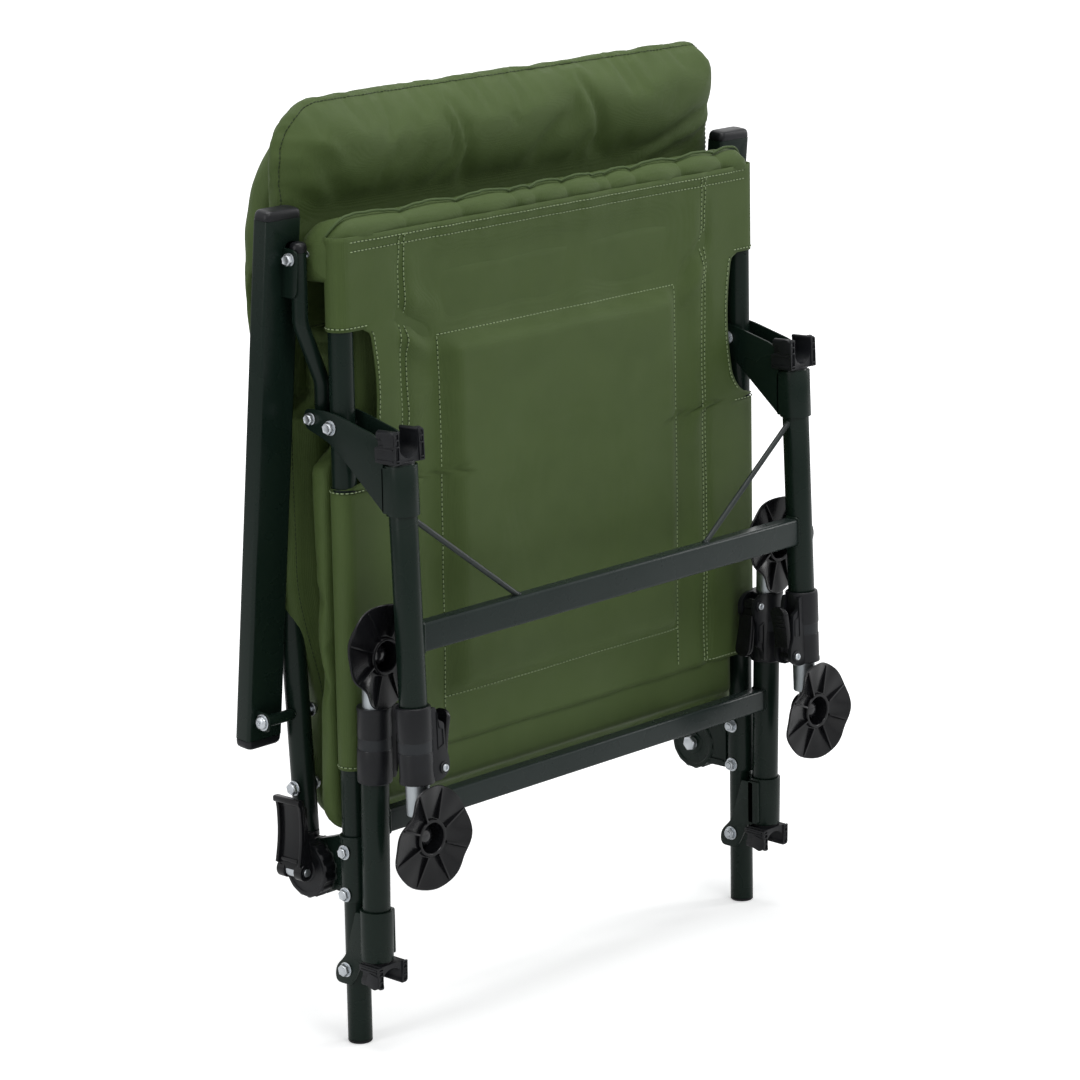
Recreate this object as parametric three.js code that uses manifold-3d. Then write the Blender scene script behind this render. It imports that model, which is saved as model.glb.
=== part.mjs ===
// Folding fishing chair with a reclining back, drawn folded flat and standing on the ends of its seat tubes.
// Millimetres. +Z runs from the stub ends up to the front edge of the seat, +Y from the seat to the back,
// and X across the chair. The seat tubes lie in the plane y = 0 and the chair is a mirror pair about x = 0.
import * as THREE from 'three';
import { mergeVertices } from 'three/addons/utils/BufferGeometryUtils.js';
import Module from 'manifold-3d';

const wasm = await Module();
wasm.setup();

// Clearances and facets
const GAP = 0.3;
const RUNNING = 0.4;
const OVERRUN = 1;
const SOFT_GAP = 1.4;
const COVER = 5;
const SLIT = 1.5;
const SLIT_WIDTH = 40;
const SIDES = 12;
const SMALL_SIDES = 8;
const BEND_STEPS = 4;
const CORNER_STEPS = 2;
const EDGE_SHARE = 0.48;

// Seat frame: one bent tube, open at its lower ends
const SEAT_TUBE_R = 11;
const SEAT_WALL = 1.4;
const HALF_WIDTH = 264;
const SEAT_TOP = 715;
const SEAT_BEND_R = 45;
const STUB_FLANGE = 3;
const STUB_CHAMFER = 1;
const STUB_PLUG = 12;

// Leg tubes, shared by the front and the rear pair
const LEG_R = 12.5;
const LEG_WALL = 1.6;
const INNER_LEG_R = LEG_R - LEG_WALL - GAP;
const INNER_WALL = 2.4;
const INNER_START = 30;
const PLATE = 2;
const PLATE_INSET = LEG_R + GAP;
const COLLAR_R = PLATE_INSET + PLATE;
const PIVOT_LOBE = 14;

// Front legs: they turn about a bolt through the seat tube
const FRONT_PIVOT_Z = 562;
const FRONT_LEG_Y = -69;
const FRONT_LEG_TOP = 538;
const FRONT_LEG_LENGTH = 248;
const FRONT_LEAN = THREE.MathUtils.degToRad(2.1);
const FRONT_COLLAR = 44;
const FRONT_PLATE_END = 7;
const FRONT_BAR_Z = 383;
const FRONT_BAR_HEIGHT = 26;
const FRONT_BAR_DEPTH = 15;
const BRACE_R = 2.5;
const BRACE_FOOT_INSET = 137;
const BRACE_TOP_Z = 487;

// Rear legs: they turn about a bolt just above the stub
const REAR_PIVOT_Z = 71;
const REAR_OFFSET = 3;
const REAR_LEG_Y = -27;
const REAR_LEG_FOOT = 83;
const REAR_LEG_LENGTH = 199;
const REAR_LEAN = THREE.MathUtils.degToRad(1.2);
const REAR_COLLAR = 46;
const REAR_BAR_Z = 210;
const REAR_BAR_HEIGHT = 21;
const REAR_BAR_DEPTH = 15;
const VENT_R = 3;

// Snap clips on the leg brackets
const CLIP_THROAT = SEAT_TUBE_R + RUNNING;
const CLIP_JAW = 4;
const CLIP_BASE = 5;
const CLIP_HEIGHT = 30;
const CLIP_LENGTH = 17;
const CLIP_LIP = 1.5;
const CLIP_PLUG = 12;
const CLIP_SHIFT = -2;
const REAR_CLIP_HEIGHT = 22;
const REAR_CLIP_SHIFT = -7;

// Height clamps at the ends of the outer leg tubes
const CLAMP_WALL = 2.8;
const CLAMP_GRIP = 34;
const CLAMP_NOSE = 34;
const EAR_REACH = 29;
const EAR_INSIDE = 6;
const EAR_THICK = 5;
const EAR_LENGTH = 12;
const LEVER_PIN_X = 23.5;
const LEVER_PIN_S = 25;
const LEVER_PIN_R = 2;
const LEVER_BARREL_R = 5.6;
const LEVER_LENGTH = 44;
const LEVER_WIDTH = 17;
const LEVER_THICK = 4.5;
const LEVER_FLARE = 9;
const FLARE_BACK_SHARE = 1 / 3;

// Feet: a dished disc on a ball
const BALL_AFTER_TUBE = 82;
const BALL_R = 9;
const BALL_PLAY = 1;
const BALL_SIDES = 10;
const STEM_R = 4.2;
const STEM_LENGTH = 19;
const PLUG_DEPTH = 10;
const FOOT_R = 46;
const FOOT_SKIN = 2.2;
const FOOT_DISH = 3.5;
const FOOT_WAVE = 2.5;
const FOOT_FACE = 11.4;
const FOOT_HUB_R = 18;
const FOOT_HUB_WALL = 3;
const FOOT_HUB_HEIGHT = 6;
const CUP_R = 12.5;
const CUP_BACK = 7;
const FOOT_RIBS = 6;
const FOOT_RIB = 1.6;
const FOOT_SIDES = 16;

// Recline hinge: a plate on the seat tube, a plate on the back tube and a clamping rod through both
const HINGE_Y = 51;
const HINGE_Z = 153;
const KNUCKLE_R = 26;
const KNUCKLE_THICK = 13;
const SLEEVE_WALL = 2;
const SLEEVE_FOOT = 133;
const SLEEVE_LENGTH = 60;
const TOOTH_COUNT = 15;
const TOOTH_DEPTH = 1;
const ROD_R = 3.5;
const ROD_HEAD_R = 8;
const ROD_HEAD = 5;
const ROD_EYE_R = 6;
const ROD_EYE = 11;
const RECLINE_PIN_X = 26;
const RECLINE_PIN_R = 2.2;
const RECLINE_PIN_LIFT = 3;
const RECLINE_BARREL_R = 8;
const RECLINE_WIDTH = 31;
const RECLINE_LENGTH = 66;
const RECLINE_THICK = 6;
const RECLINE_LIP = 9;
const RECLINE_BEND_SHARE = 0.71;

// Back frame: one bent tube that leans away from the seat
const BACK_TUBE_R = 11;
const BACK_WALL = 1;
const BACK_START_Z = 186;
const BACK_START_Y = 60.6;
const BACK_LEAN = THREE.MathUtils.degToRad(3.4);
const BACK_LENGTH = 610;
const BACK_BEND_R = 95;
const BACK_PLUG = 40;
const BACK_BOLT_S = 40;

// Armrest linkage, as places in the side view
const ARM_PIVOT_Y = 64;
const ARM_PIVOT_Z = 294;
const LINK_TOP_Y = 24;
const LINK_TOP_Z = 709;
const LINK_FOOT_Y = 24.3;
const LINK_FOOT_Z = 567;
const ARM_OUT = 33.5;
const ARM_X = HALF_WIDTH + ARM_OUT;
const ARM_WIDTH = 41;
const ARM_DEPTH = 18;
const ARM_WALL = 1.4;
const ARM_CORNER = 3.5;
const ARM_SETBACK = 9;
const ARM_BELOW = 20;
const ARM_ABOVE = 33;
const ARM_CAP = 8;
const ARM_CAP_PLUG = 10;
const LUG = 2;
const LUG_R = 8.5;
const LUG_OUT = 33;
const LUG_X = HALF_WIDTH + LUG_OUT;
const LUG_LENGTH = 34;
const ARM_LUG_OUT = 45;
const ARM_LUG_X = HALF_WIDTH + ARM_LUG_OUT;
const SPACER_R = 5;
const LINK_R = 7;
const LINK_WALL = 1.4;
const LINK_OUT = 24;
const LINK_X = HALF_WIDTH + LINK_OUT;
const LINK_BEND_TOP = 652;
const LINK_BEND_FOOT = 598;
const LINK_TOP_END = 5;
const LINK_END = 8;
const LINK_SIDES = 10;
const LINK_BEND_R = 28;
const LINK_STEPS = 2;

// Bolts
const BOLT_R = 3;
const BOLT_HOLE_R = BOLT_R + GAP;
const HEAD_R = 5.8;
const HEAD = 4.5;
const WASHER_R = 7.5;
const WASHER = 1.2;
const HEX = 6;
const WASHER_SIDES = 8;

// Seat underside panel, a fabric sleeve round the seat tubes
const FABRIC = 1.6;
const WRAP_R = SEAT_TUBE_R + GAP;
const PANEL_TOP = 729;
const UPPER_FLAP_RISE = 83;
const LOWER_FLAP_DROP = 55;
const UPPER_FLAP_FOOT = FRONT_PIVOT_Z + UPPER_FLAP_RISE;
const LOWER_FLAP_TOP = FRONT_PIVOT_Z - LOWER_FLAP_DROP;
const PANEL_FOOT = 254;
const WAIST_INSET = 22;
const PANEL_WAIST = HALF_WIDTH - WAIST_INSET;
const WRAP_BACK = 4;

// Seat cushion
const PAD_FOOT = 196;
const PAD_TOP = 737;
const PAD_BASE_Y = SEAT_TUBE_R + GAP + FABRIC + GAP;
const PAD_CROWN_Y = 46;
const PAD_PROUD = 2;
const PAD_HALF_WIDTH = HALF_WIDTH + PAD_PROUD;
const PAD_WAIST = HALF_WIDTH - WAIST_INSET;
const PAD_NOTCH_FOOT = 495;
const PAD_NOTCH_TOP = 535;
const PAD_PULL = 5;
const CORE_INSET = 24;
const CORE_HALF_WIDTH = HALF_WIDTH - CORE_INSET;
const CORE_FOOT = 215;
const CORE_TOP = 690;
const ROLL_PROUD = 18;
const ROLL_HALF_WIDTH = HALF_WIDTH + ROLL_PROUD;
const ROLL_FOOT = 698;
const CHANNELS_SHARES = [-0.5, 0.5];
const CHANNEL_DEPTH = 2.5;
const CHANNEL_WIDTH_SHARE = 0.06;

// Back cushion and headrest
const BACK_PAD_FOOT = 200;
const BACK_PAD_TOP = 818;
const BACK_PAD_FRONT = 47.2;
const BACK_PAD_PROUD = 4;
const BACK_PAD_INSET = 20;
const BACK_PAD_HALF_WIDTH = HALF_WIDTH + BACK_PAD_PROUD;
const BACK_PAD_WAIST = HALF_WIDTH - BACK_PAD_INSET;
const BACK_PAD_NOTCH_FOOT = 350;
const BACK_PAD_NOTCH_TOP = 400;
const BACK_PAD_COVER = 15;
const BACK_PAD_CORNER = 70;
const CORNER_ROOM_INSET = 44;
const HEADREST_FOOT = 640;
const HEADREST_TOP = 836;
const HEADREST_PROUD = 10;
const HEADREST_HALF_WIDTH = HALF_WIDTH + HEADREST_PROUD;
const HEADREST_CORNER = 62;
const HEADREST_THICK = 28;
const HEADREST_PULL = 10;

// Colours
const PAINT = { color: 0x1c2422, roughness: 0.45, metalness: 0.5 };
const ZINC = { color: 0xc9cdd0, roughness: 0.3, metalness: 1 };
const BARE_TUBE = { color: 0x9aa09f, roughness: 0.4, metalness: 0.9 };
const PLASTIC = { color: 0x17191c, roughness: 0.4, metalness: 0 };
const CLOTH = { color: 0x4f5f3c, roughness: 0.85, metalness: 0 };
const PANEL_CLOTH = { color: 0x465636, roughness: 0.8, metalness: 0 };

const FULL_TURN = 2 * Math.PI;
const QUARTER = Math.PI / 2;
const X_AXIS = new THREE.Vector3(1, 0, 0);
const Y_AXIS = new THREE.Vector3(0, 1, 0);
const Z_AXIS = new THREE.Vector3(0, 0, 1);

// Solids: closed meshes to booleans and back
function toSolid(geometry) {
  const bare = geometry.clone();
  bare.deleteAttribute('normal');
  bare.deleteAttribute('uv');
  const welded = mergeVertices(bare);
  return new wasm.Manifold(new wasm.Mesh({
    numProp: 3,
    vertProperties: new Float32Array(welded.attributes.position.array),
    triVerts: new Uint32Array(welded.index.array),
  }));
}

function toGeometry(solid) {
  const mesh = solid.getMesh();
  const geometry = new THREE.BufferGeometry();
  geometry.setAttribute('position', new THREE.BufferAttribute(mesh.vertProperties, 3));
  geometry.setIndex(new THREE.BufferAttribute(mesh.triVerts, 1));
  geometry.computeVertexNormals();
  return geometry;
}

function join(...parts) {
  return toGeometry(parts.map(toSolid).reduce((whole, part) => whole.add(part)));
}

function cut(body, ...tools) {
  return toGeometry(tools.map(toSolid).reduce((whole, tool) => whole.subtract(tool), toSolid(body)));
}

function bare(geometry) {
  const copy = geometry.clone();
  copy.deleteAttribute('normal');
  copy.deleteAttribute('uv');
  return mergeVertices(copy);
}

// Moves a geometry by a matrix, and turns its faces back out where the matrix mirrors it
function place(geometry, matrix) {
  const moved = bare(geometry).applyMatrix4(matrix);
  if (matrix.determinant() < 0) {
    const index = moved.index.array;
    for (let i = 0; i < index.length; i += 3) {
      [index[i], index[i + 1]] = [index[i + 1], index[i]];
    }
  }
  return moved;
}

function mirror(geometry) {
  return place(geometry, new THREE.Matrix4().makeScale(-1, 1, 1));
}

// Basic forms, each centred on the origin unless it says otherwise
function rod(radius, length, axis, sides = SIDES) {
  const geometry = new THREE.CylinderGeometry(radius, radius, length, sides);
  if (axis === X_AXIS) {
    geometry.rotateZ(QUARTER);
  }
  if (axis === Z_AXIS) {
    geometry.rotateY(QUARTER);
    geometry.rotateX(QUARTER);
  }
  return geometry;
}

function box(width, depth, height) {
  return new THREE.BoxGeometry(width, depth, height);
}

function ringShape(outer, inner) {
  const shape = new THREE.Shape();
  shape.absarc(0, 0, outer, 0, FULL_TURN);
  const hole = new THREE.Path();
  hole.absarc(0, 0, inner, 0, FULL_TURN, true);
  shape.holes.push(hole);
  return shape;
}

// A hollow tube along +Z that starts at z = 0
function tube(outer, inner, length) {
  return new THREE.ExtrudeGeometry(ringShape(outer, inner), {
    depth: length, bevelEnabled: false, curveSegments: SIDES / 2,
  });
}

// A shape whose corners [u, v, radius] are rounded, as far as its edges allow
function roundedShape(corners) {
  const shape = new THREE.Shape();
  corners.forEach(([u, v, radius], i) => {
    const corner = new THREE.Vector2(u, v);
    const toBefore = new THREE.Vector2(...corners.at(i - 1)).sub(corner);
    const toAfter = new THREE.Vector2(...corners[(i + 1) % corners.length]).sub(corner);
    const reach = Math.min(radius, EDGE_SHARE * toBefore.length(), EDGE_SHARE * toAfter.length());
    const before = toBefore.setLength(reach).add(corner);
    const after = toAfter.setLength(reach).add(corner);
    if (i === 0) {
      shape.moveTo(before.x, before.y);
    } else {
      shape.lineTo(before.x, before.y);
    }
    shape.quadraticCurveTo(u, v, after.x, after.y);
  });
  return shape;
}

function slab(shape, thickness) {
  return new THREE.ExtrudeGeometry(shape, { depth: thickness, bevelEnabled: false, curveSegments: CORNER_STEPS });
}

// A plate in the side view: the shape's u is y and its v is z, and it is centred on x
function sidePlate(corners, thickness, x) {
  const geometry = slab(roundedShape(corners), thickness);
  geometry.applyMatrix4(new THREE.Matrix4().makeBasis(Y_AXIS, Z_AXIS, X_AXIS));
  return geometry.translate(x - thickness / 2, 0, 0);
}

// A path through given stations, with no resampling, so straight runs take one step
class StationPath extends THREE.Curve {
  constructor(stations) {
    super();
    this.stations = stations;
  }

  getPoint(t) {
    return this.stations[Math.round(t * (this.stations.length - 1))].clone();
  }

  getPointAt(u) {
    return this.getPoint(u);
  }

  getTangentAt(u) {
    const i = Math.round(u * (this.stations.length - 1));
    const before = this.stations[Math.max(i - 1, 0)];
    const after = this.stations[Math.min(i + 1, this.stations.length - 1)];
    const back = this.stations[i].clone().sub(before).normalize();
    const ahead = after.clone().sub(this.stations[i]).normalize();
    return back.add(ahead).normalize();
  }
}

// Stations along straight runs with round bends at the inner corners
function bentStations(corners, radius, steps = BEND_STEPS) {
  const stations = [corners[0]];
  for (let i = 1; i < corners.length - 1; i++) {
    const toBack = corners[i - 1].clone().sub(corners[i]).normalize();
    const toAhead = corners[i + 1].clone().sub(corners[i]).normalize();
    const half = toBack.angleTo(toAhead) / 2;
    const centre = toBack.clone().add(toAhead).setLength(radius / Math.sin(half)).add(corners[i]);
    const from = corners[i].clone().addScaledVector(toBack, radius / Math.tan(half)).sub(centre);
    const to = corners[i].clone().addScaledVector(toAhead, radius / Math.tan(half)).sub(centre);
    const axis = from.clone().cross(to).normalize();
    const sweep = from.angleTo(to);
    for (let step = 0; step <= steps; step++) {
      const spoke = from.clone().applyAxisAngle(axis, sweep * step / steps);
      stations.push(spoke.add(centre));
    }
  }
  stations.push(corners.at(-1));
  return stations;
}

function bentTube(stations, outer, inner, sides = SIDES) {
  const shape = inner > 0 ? ringShape(outer, inner) : new THREE.Shape().absarc(0, 0, outer, 0, FULL_TURN);
  return new THREE.ExtrudeGeometry(shape, {
    steps: stations.length - 1,
    extrudePath: new StationPath(stations),
    curveSegments: sides / 2,
  });
}

// Bolts along X with a head at one end and a nut at the other, washers under both
function hexHead(x, y, z, height) {
  return rod(HEAD_R, height, X_AXIS, HEX).translate(x, y, z);
}

function boltThrough(headX, nutX, y, z) {
  const way = Math.sign(headX - nutX);
  const grip = Math.abs(headX - nutX);
  return join(
    rod(BOLT_R, grip + HEAD, X_AXIS, SMALL_SIDES).translate((headX + nutX) / 2, y, z),
    rod(WASHER_R, WASHER, X_AXIS, WASHER_SIDES).translate(headX + way * WASHER / 2, y, z),
    hexHead(headX + way * (WASHER + HEAD / 2), y, z, HEAD),
    rod(WASHER_R, WASHER, X_AXIS, WASHER_SIDES).translate(nutX - way * WASHER / 2, y, z),
    hexHead(nutX - way * (WASHER + HEAD / 2), y, z, HEAD),
  );
}

function boltStub(faceX, way, y, z) {
  return hexHead(faceX + way * (HEAD - PLATE) / 2, y, z, HEAD + PLATE);
}

function boreX(radius, x, y, z, length) {
  return rod(radius, length, X_AXIS, SMALL_SIDES).translate(x, y, z);
}

const chair = new THREE.Group();

function add(parent, name, geometry, look) {
  const mesh = new THREE.Mesh(geometry, new THREE.MeshStandardMaterial(look));
  mesh.name = name;
  parent.add(mesh);
}

// A right piece at +x and its mirror image at -x
function addPair(parent, name, geometry, look) {
  add(parent, `${name}_right`, geometry, look);
  add(parent, `${name}_left`, mirror(geometry), look);
}

function body() {
  const bodyGroup = new THREE.Group();
  chair.add(bodyGroup);
  return bodyGroup;
}

function pivotBolt(z) {
  return boltThrough(HALF_WIDTH + COLLAR_R + GAP, HALF_WIDTH - COLLAR_R - GAP, 0, z);
}

// Seat frame
function seatStations() {
  const foot = STUB_FLANGE + GAP;
  return bentStations([
    new THREE.Vector3(-HALF_WIDTH, 0, foot),
    new THREE.Vector3(-HALF_WIDTH, 0, SEAT_TOP),
    new THREE.Vector3(HALF_WIDTH, 0, SEAT_TOP),
    new THREE.Vector3(HALF_WIDTH, 0, foot),
  ], SEAT_BEND_R);
}

const SLEEVE_BOLT_SHARES = [0.12, 0.77];
const sleeveBoltHeights = SLEEVE_BOLT_SHARES.map((share) => SLEEVE_FOOT + share * SLEEVE_LENGTH);

function seatTube() {
  const heights = [FRONT_PIVOT_Z, REAR_PIVOT_Z];
  const bores = heights.map((z) => boreX(BOLT_HOLE_R, 0, 0, z, 2 * (HALF_WIDTH + COLLAR_R)));
  return cut(bentTube(seatStations(), SEAT_TUBE_R, SEAT_TUBE_R - SEAT_WALL), ...bores);
}

function stubCap() {
  const plugR = SEAT_TUBE_R - SEAT_WALL - GAP;
  const outline = [
    [0, 0],
    [SEAT_TUBE_R - STUB_CHAMFER, 0],
    [SEAT_TUBE_R, STUB_CHAMFER],
    [SEAT_TUBE_R, STUB_FLANGE],
    [plugR, STUB_FLANGE],
    [plugR, STUB_FLANGE + STUB_PLUG],
    [0, STUB_FLANGE + STUB_PLUG],
  ].map(([radius, z]) => new THREE.Vector2(radius, z));
  return new THREE.LatheGeometry(outline, SIDES).rotateX(QUARTER).translate(HALF_WIDTH, 0, 0);
}

// Recline hinge: the seat side is a sleeve with the inner toothed disc
function toothedDisc(x) {
  const shape = new THREE.Shape();
  for (let i = 0; i < TOOTH_COUNT * 2; i++) {
    const angle = FULL_TURN * i / (TOOTH_COUNT * 2);
    const radius = KNUCKLE_R - (i % 2) * TOOTH_DEPTH;
    const point = [HINGE_Y + radius * Math.cos(angle), HINGE_Z + radius * Math.sin(angle)];
    if (i === 0) {
      shape.moveTo(...point);
    } else {
      shape.lineTo(...point);
    }
  }
  const geometry = slab(shape, KNUCKLE_THICK);
  geometry.applyMatrix4(new THREE.Matrix4().makeBasis(Y_AXIS, Z_AXIS, X_AXIS));
  return geometry.translate(x - KNUCKLE_THICK / 2, 0, 0);
}

function hingeSleeve() {
  const bore = SEAT_TUBE_R + GAP;
  const sleeve = tube(bore + SLEEVE_WALL, bore, SLEEVE_LENGTH).translate(HALF_WIDTH, 0, SLEEVE_FOOT);
  const discX = HALF_WIDTH - KNUCKLE_THICK / 2 - GAP / 2;
  const webFoot = SLEEVE_FOOT + SLEEVE_WALL;
  const webTop = SLEEVE_FOOT + SLEEVE_LENGTH - SLEEVE_WALL;
  const web = sidePlate([
    [bore, webFoot, SLEEVE_WALL],
    [HINGE_Y, webFoot, SLEEVE_WALL],
    [HINGE_Y, webTop - KNUCKLE_R / 2, SLEEVE_WALL],
    [bore, webTop, SLEEVE_WALL],
  ], KNUCKLE_THICK, discX);
  const whole = join(sleeve, web, toothedDisc(discX));
  const bored = cut(
    whole,
    rod(bore, SLEEVE_LENGTH + OVERRUN, Z_AXIS).translate(HALF_WIDTH, 0, SLEEVE_FOOT + SLEEVE_LENGTH / 2),
    boreX(ROD_R + RUNNING, HALF_WIDTH, HINGE_Y, HINGE_Z, 4 * COLLAR_R),
  );
  const reach = bore + SLEEVE_WALL;
  const bolts = sleeveBoltHeights.flatMap((z) => [
    boltStub(HALF_WIDTH - reach, -1, 0, z),
    boltStub(HALF_WIDTH + reach, 1, 0, z),
  ]);
  return join(bored, ...bolts);
}

function reclineRod() {
  const inner = HALF_WIDTH - KNUCKLE_THICK - GAP;
  const pinX = HALF_WIDTH + RECLINE_PIN_X;
  const pinZ = HINGE_Z + RECLINE_PIN_LIFT;
  const headX = inner - GAP - ROD_HEAD / 2;
  return join(
    rod(ROD_HEAD_R, ROD_HEAD, X_AXIS).translate(headX, HINGE_Y, HINGE_Z),
    rod(ROD_R, pinX - headX, X_AXIS, SMALL_SIDES).translate((pinX + headX) / 2, HINGE_Y, HINGE_Z),
    rod(ROD_EYE_R, ROD_EYE, Y_AXIS).translate(pinX, HINGE_Y, pinZ),
    rod(RECLINE_PIN_R, RECLINE_WIDTH + 2 * WASHER, Y_AXIS, SMALL_SIDES).translate(pinX, HINGE_Y, pinZ),
  );
}

function reclineLever() {
  const pinX = HALF_WIDTH + RECLINE_PIN_X;
  const pinZ = HINGE_Z + RECLINE_PIN_LIFT;
  const barrel = rod(RECLINE_BARREL_R, RECLINE_WIDTH, Y_AXIS).translate(pinX, HINGE_Y, pinZ);
  const arm = slab(roundedShape([
    [pinX - RECLINE_THICK / 2, pinZ, OVERRUN],
    [pinX + RECLINE_BARREL_R, pinZ, OVERRUN],
    [pinX + RECLINE_THICK / 2 + OVERRUN, pinZ + RECLINE_LENGTH * RECLINE_BEND_SHARE, RECLINE_THICK],
    [pinX + RECLINE_THICK / 2 + RECLINE_LIP / 2, pinZ + RECLINE_LENGTH, OVERRUN],
    [pinX - OVERRUN, pinZ + RECLINE_LENGTH, OVERRUN],
    [pinX - RECLINE_THICK / 2 - OVERRUN, pinZ + RECLINE_LENGTH * RECLINE_BEND_SHARE, RECLINE_THICK],
  ]), RECLINE_WIDTH);
  arm.applyMatrix4(new THREE.Matrix4().makeBasis(X_AXIS, Z_AXIS, new THREE.Vector3(0, -1, 0)));
  arm.translate(0, HINGE_Y + RECLINE_WIDTH / 2, 0);
  const slot = box(4 * RECLINE_BARREL_R, ROD_EYE + 2 * RUNNING, 2 * RECLINE_BARREL_R + 2 * OVERRUN)
    .translate(pinX - RECLINE_BARREL_R, HINGE_Y, pinZ - RECLINE_PIN_LIFT);
  return cut(join(barrel, arm), slot,
    rod(RECLINE_PIN_R + GAP, RECLINE_WIDTH + 2 * OVERRUN, Y_AXIS, SMALL_SIDES).translate(pinX, HINGE_Y, pinZ));
}

// Underside panel: a sheet whose flaps wrap round the seat tubes
function wrapShape(halfSheet, wrapped) {
  const front = -WRAP_R - FABRIC;
  const shape = new THREE.Shape();
  if (!wrapped) {
    shape.moveTo(-halfSheet, front);
    shape.lineTo(halfSheet, front);
    shape.lineTo(halfSheet, front + FABRIC);
    shape.lineTo(-halfSheet, front + FABRIC);
    return shape;
  }
  shape.moveTo(-HALF_WIDTH, front);
  shape.lineTo(HALF_WIDTH, front);
  shape.absarc(HALF_WIDTH, 0, WRAP_R + FABRIC, -QUARTER, QUARTER);
  shape.lineTo(HALF_WIDTH - WRAP_BACK, WRAP_R + FABRIC);
  shape.lineTo(HALF_WIDTH - WRAP_BACK, WRAP_R);
  shape.absarc(HALF_WIDTH, 0, WRAP_R, QUARTER, -QUARTER, true);
  shape.lineTo(-HALF_WIDTH, -WRAP_R);
  shape.absarc(-HALF_WIDTH, 0, WRAP_R, -QUARTER, -3 * QUARTER, true);
  shape.lineTo(-HALF_WIDTH + WRAP_BACK, WRAP_R);
  shape.lineTo(-HALF_WIDTH + WRAP_BACK, WRAP_R + FABRIC);
  shape.absarc(-HALF_WIDTH, 0, WRAP_R + FABRIC, QUARTER, 3 * QUARTER);
  return shape;
}

function seatPanel() {
  const layer = (foot, top, half, wrapped) => new THREE.ExtrudeGeometry(wrapShape(half, wrapped), {
    depth: top - foot, bevelEnabled: false, curveSegments: SIDES / 3,
  }).translate(0, 0, foot);
  return join(
    layer(PANEL_FOOT, LOWER_FLAP_TOP, HALF_WIDTH, true),
    layer(LOWER_FLAP_TOP - OVERRUN, UPPER_FLAP_FOOT + OVERRUN, PANEL_WAIST, false),
    layer(UPPER_FLAP_FOOT, SEAT_TOP - SEAT_BEND_R, HALF_WIDTH, true),
    layer(SEAT_TOP - SEAT_BEND_R - OVERRUN, PANEL_TOP, HALF_WIDTH, false),
  );
}

// Padded forms: a box whose faces are drawn in between the corners and crowned in the middle
function pad(segments, form) {
  const block = bare(new THREE.BoxGeometry(2, 2, 2, segments, 2, segments));
  const position = block.attributes.position;
  for (let i = 0; i < position.count; i++) {
    const at = form(position.getX(i), position.getY(i), position.getZ(i));
    position.setXYZ(i, at.x, at.y, at.z);
  }
  return block;
}

// The room for the filling inside a cover, with a narrow slit at its foot
function fillingRoom(halfWidth, foot, top, frontAt, backAt) {
  const room = bare(new THREE.BoxGeometry(2, 2, 2));
  const position = room.attributes.position;
  for (let i = 0; i < position.count; i++) {
    const z = position.getZ(i) > 0 ? top : foot;
    const y = position.getY(i) > 0 ? backAt(z) : frontAt(z);
    position.setXYZ(i, position.getX(i) * halfWidth, y, z);
  }
  return room;
}

function slit(y, foot, top) {
  return box(SLIT_WIDTH, SLIT, top - foot).translate(0, y, (top + foot) / 2);
}

function smooth(value, low, high) {
  return THREE.MathUtils.smoothstep(value, low, high);
}

const PAD_EDGE_SHARE = 0.82;
const PAD_SEGMENTS = 8;
const SOFT_SIDES = 8;

function crown(a, b) {
  return PAD_EDGE_SHARE + (1 - PAD_EDGE_SHARE) * (1 - a ** 6) * (1 - b ** 6);
}

function channel(b) {
  return CHANNELS_SHARES.reduce((sum, share) => {
    const away = Math.abs(b - share) / CHANNEL_WIDTH_SHARE;
    return sum + (away < 1 ? 1 - away : 0);
  }, 0);
}

function seatCushion() {
  const middle = (PAD_FOOT + PAD_TOP) / 2;
  const half = (PAD_TOP - PAD_FOOT) / 2;
  const pillow = pad(PAD_SEGMENTS, (a, c, b) => {
    const z = middle + b * (half - PAD_PULL * (1 - a * a));
    const width = PAD_HALF_WIDTH + (PAD_WAIST - PAD_HALF_WIDTH) * smooth(z, PAD_NOTCH_FOOT, PAD_NOTCH_TOP);
    const thick = (PAD_CROWN_Y - PAD_BASE_Y) * crown(a, b) - CHANNEL_DEPTH * channel(b);
    return { x: a * (width - PAD_PULL * (1 - b * b)), y: PAD_BASE_Y + thick * (c + 1) / 2, z };
  });
  const sheetBack = -WRAP_R + GAP;
  const coreDepth = PAD_BASE_Y + OVERRUN - sheetBack;
  const core = box(2 * CORE_HALF_WIDTH, coreDepth, CORE_TOP - CORE_FOOT)
    .translate(0, sheetBack + coreDepth / 2, (CORE_TOP + CORE_FOOT) / 2);
  const roll = box(2 * ROLL_HALF_WIDTH, coreDepth, PAD_TOP - ROLL_FOOT - PAD_PULL)
    .translate(0, sheetBack + coreDepth / 2, (PAD_TOP + ROLL_FOOT - PAD_PULL) / 2);
  const roomFoot = CORE_FOOT + COVER;
  const room = fillingRoom(CORE_HALF_WIDTH - COVER, roomFoot, CORE_TOP - COVER,
    () => sheetBack + COVER / 2, () => PAD_CROWN_Y - COVER);
  return cut(
    join(pillow, core, roll),
    bentTube(seatStations(), SEAT_TUBE_R + SOFT_GAP, 0, SOFT_SIDES),
    room,
    slit(PAD_BASE_Y + COVER, PAD_FOOT - OVERRUN, roomFoot + OVERRUN),
  );
}

// Leg pieces in leg coordinates: z runs outward from the bracket end of the outer tube
function legMatrix(x, y, z, lean, up) {
  const frame = new THREE.Matrix4().makeTranslation(x, y, z);
  frame.multiply(new THREE.Matrix4().makeRotationX(up * lean));
  return frame.multiply(new THREE.Matrix4().makeScale(1, 1, up));
}

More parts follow.
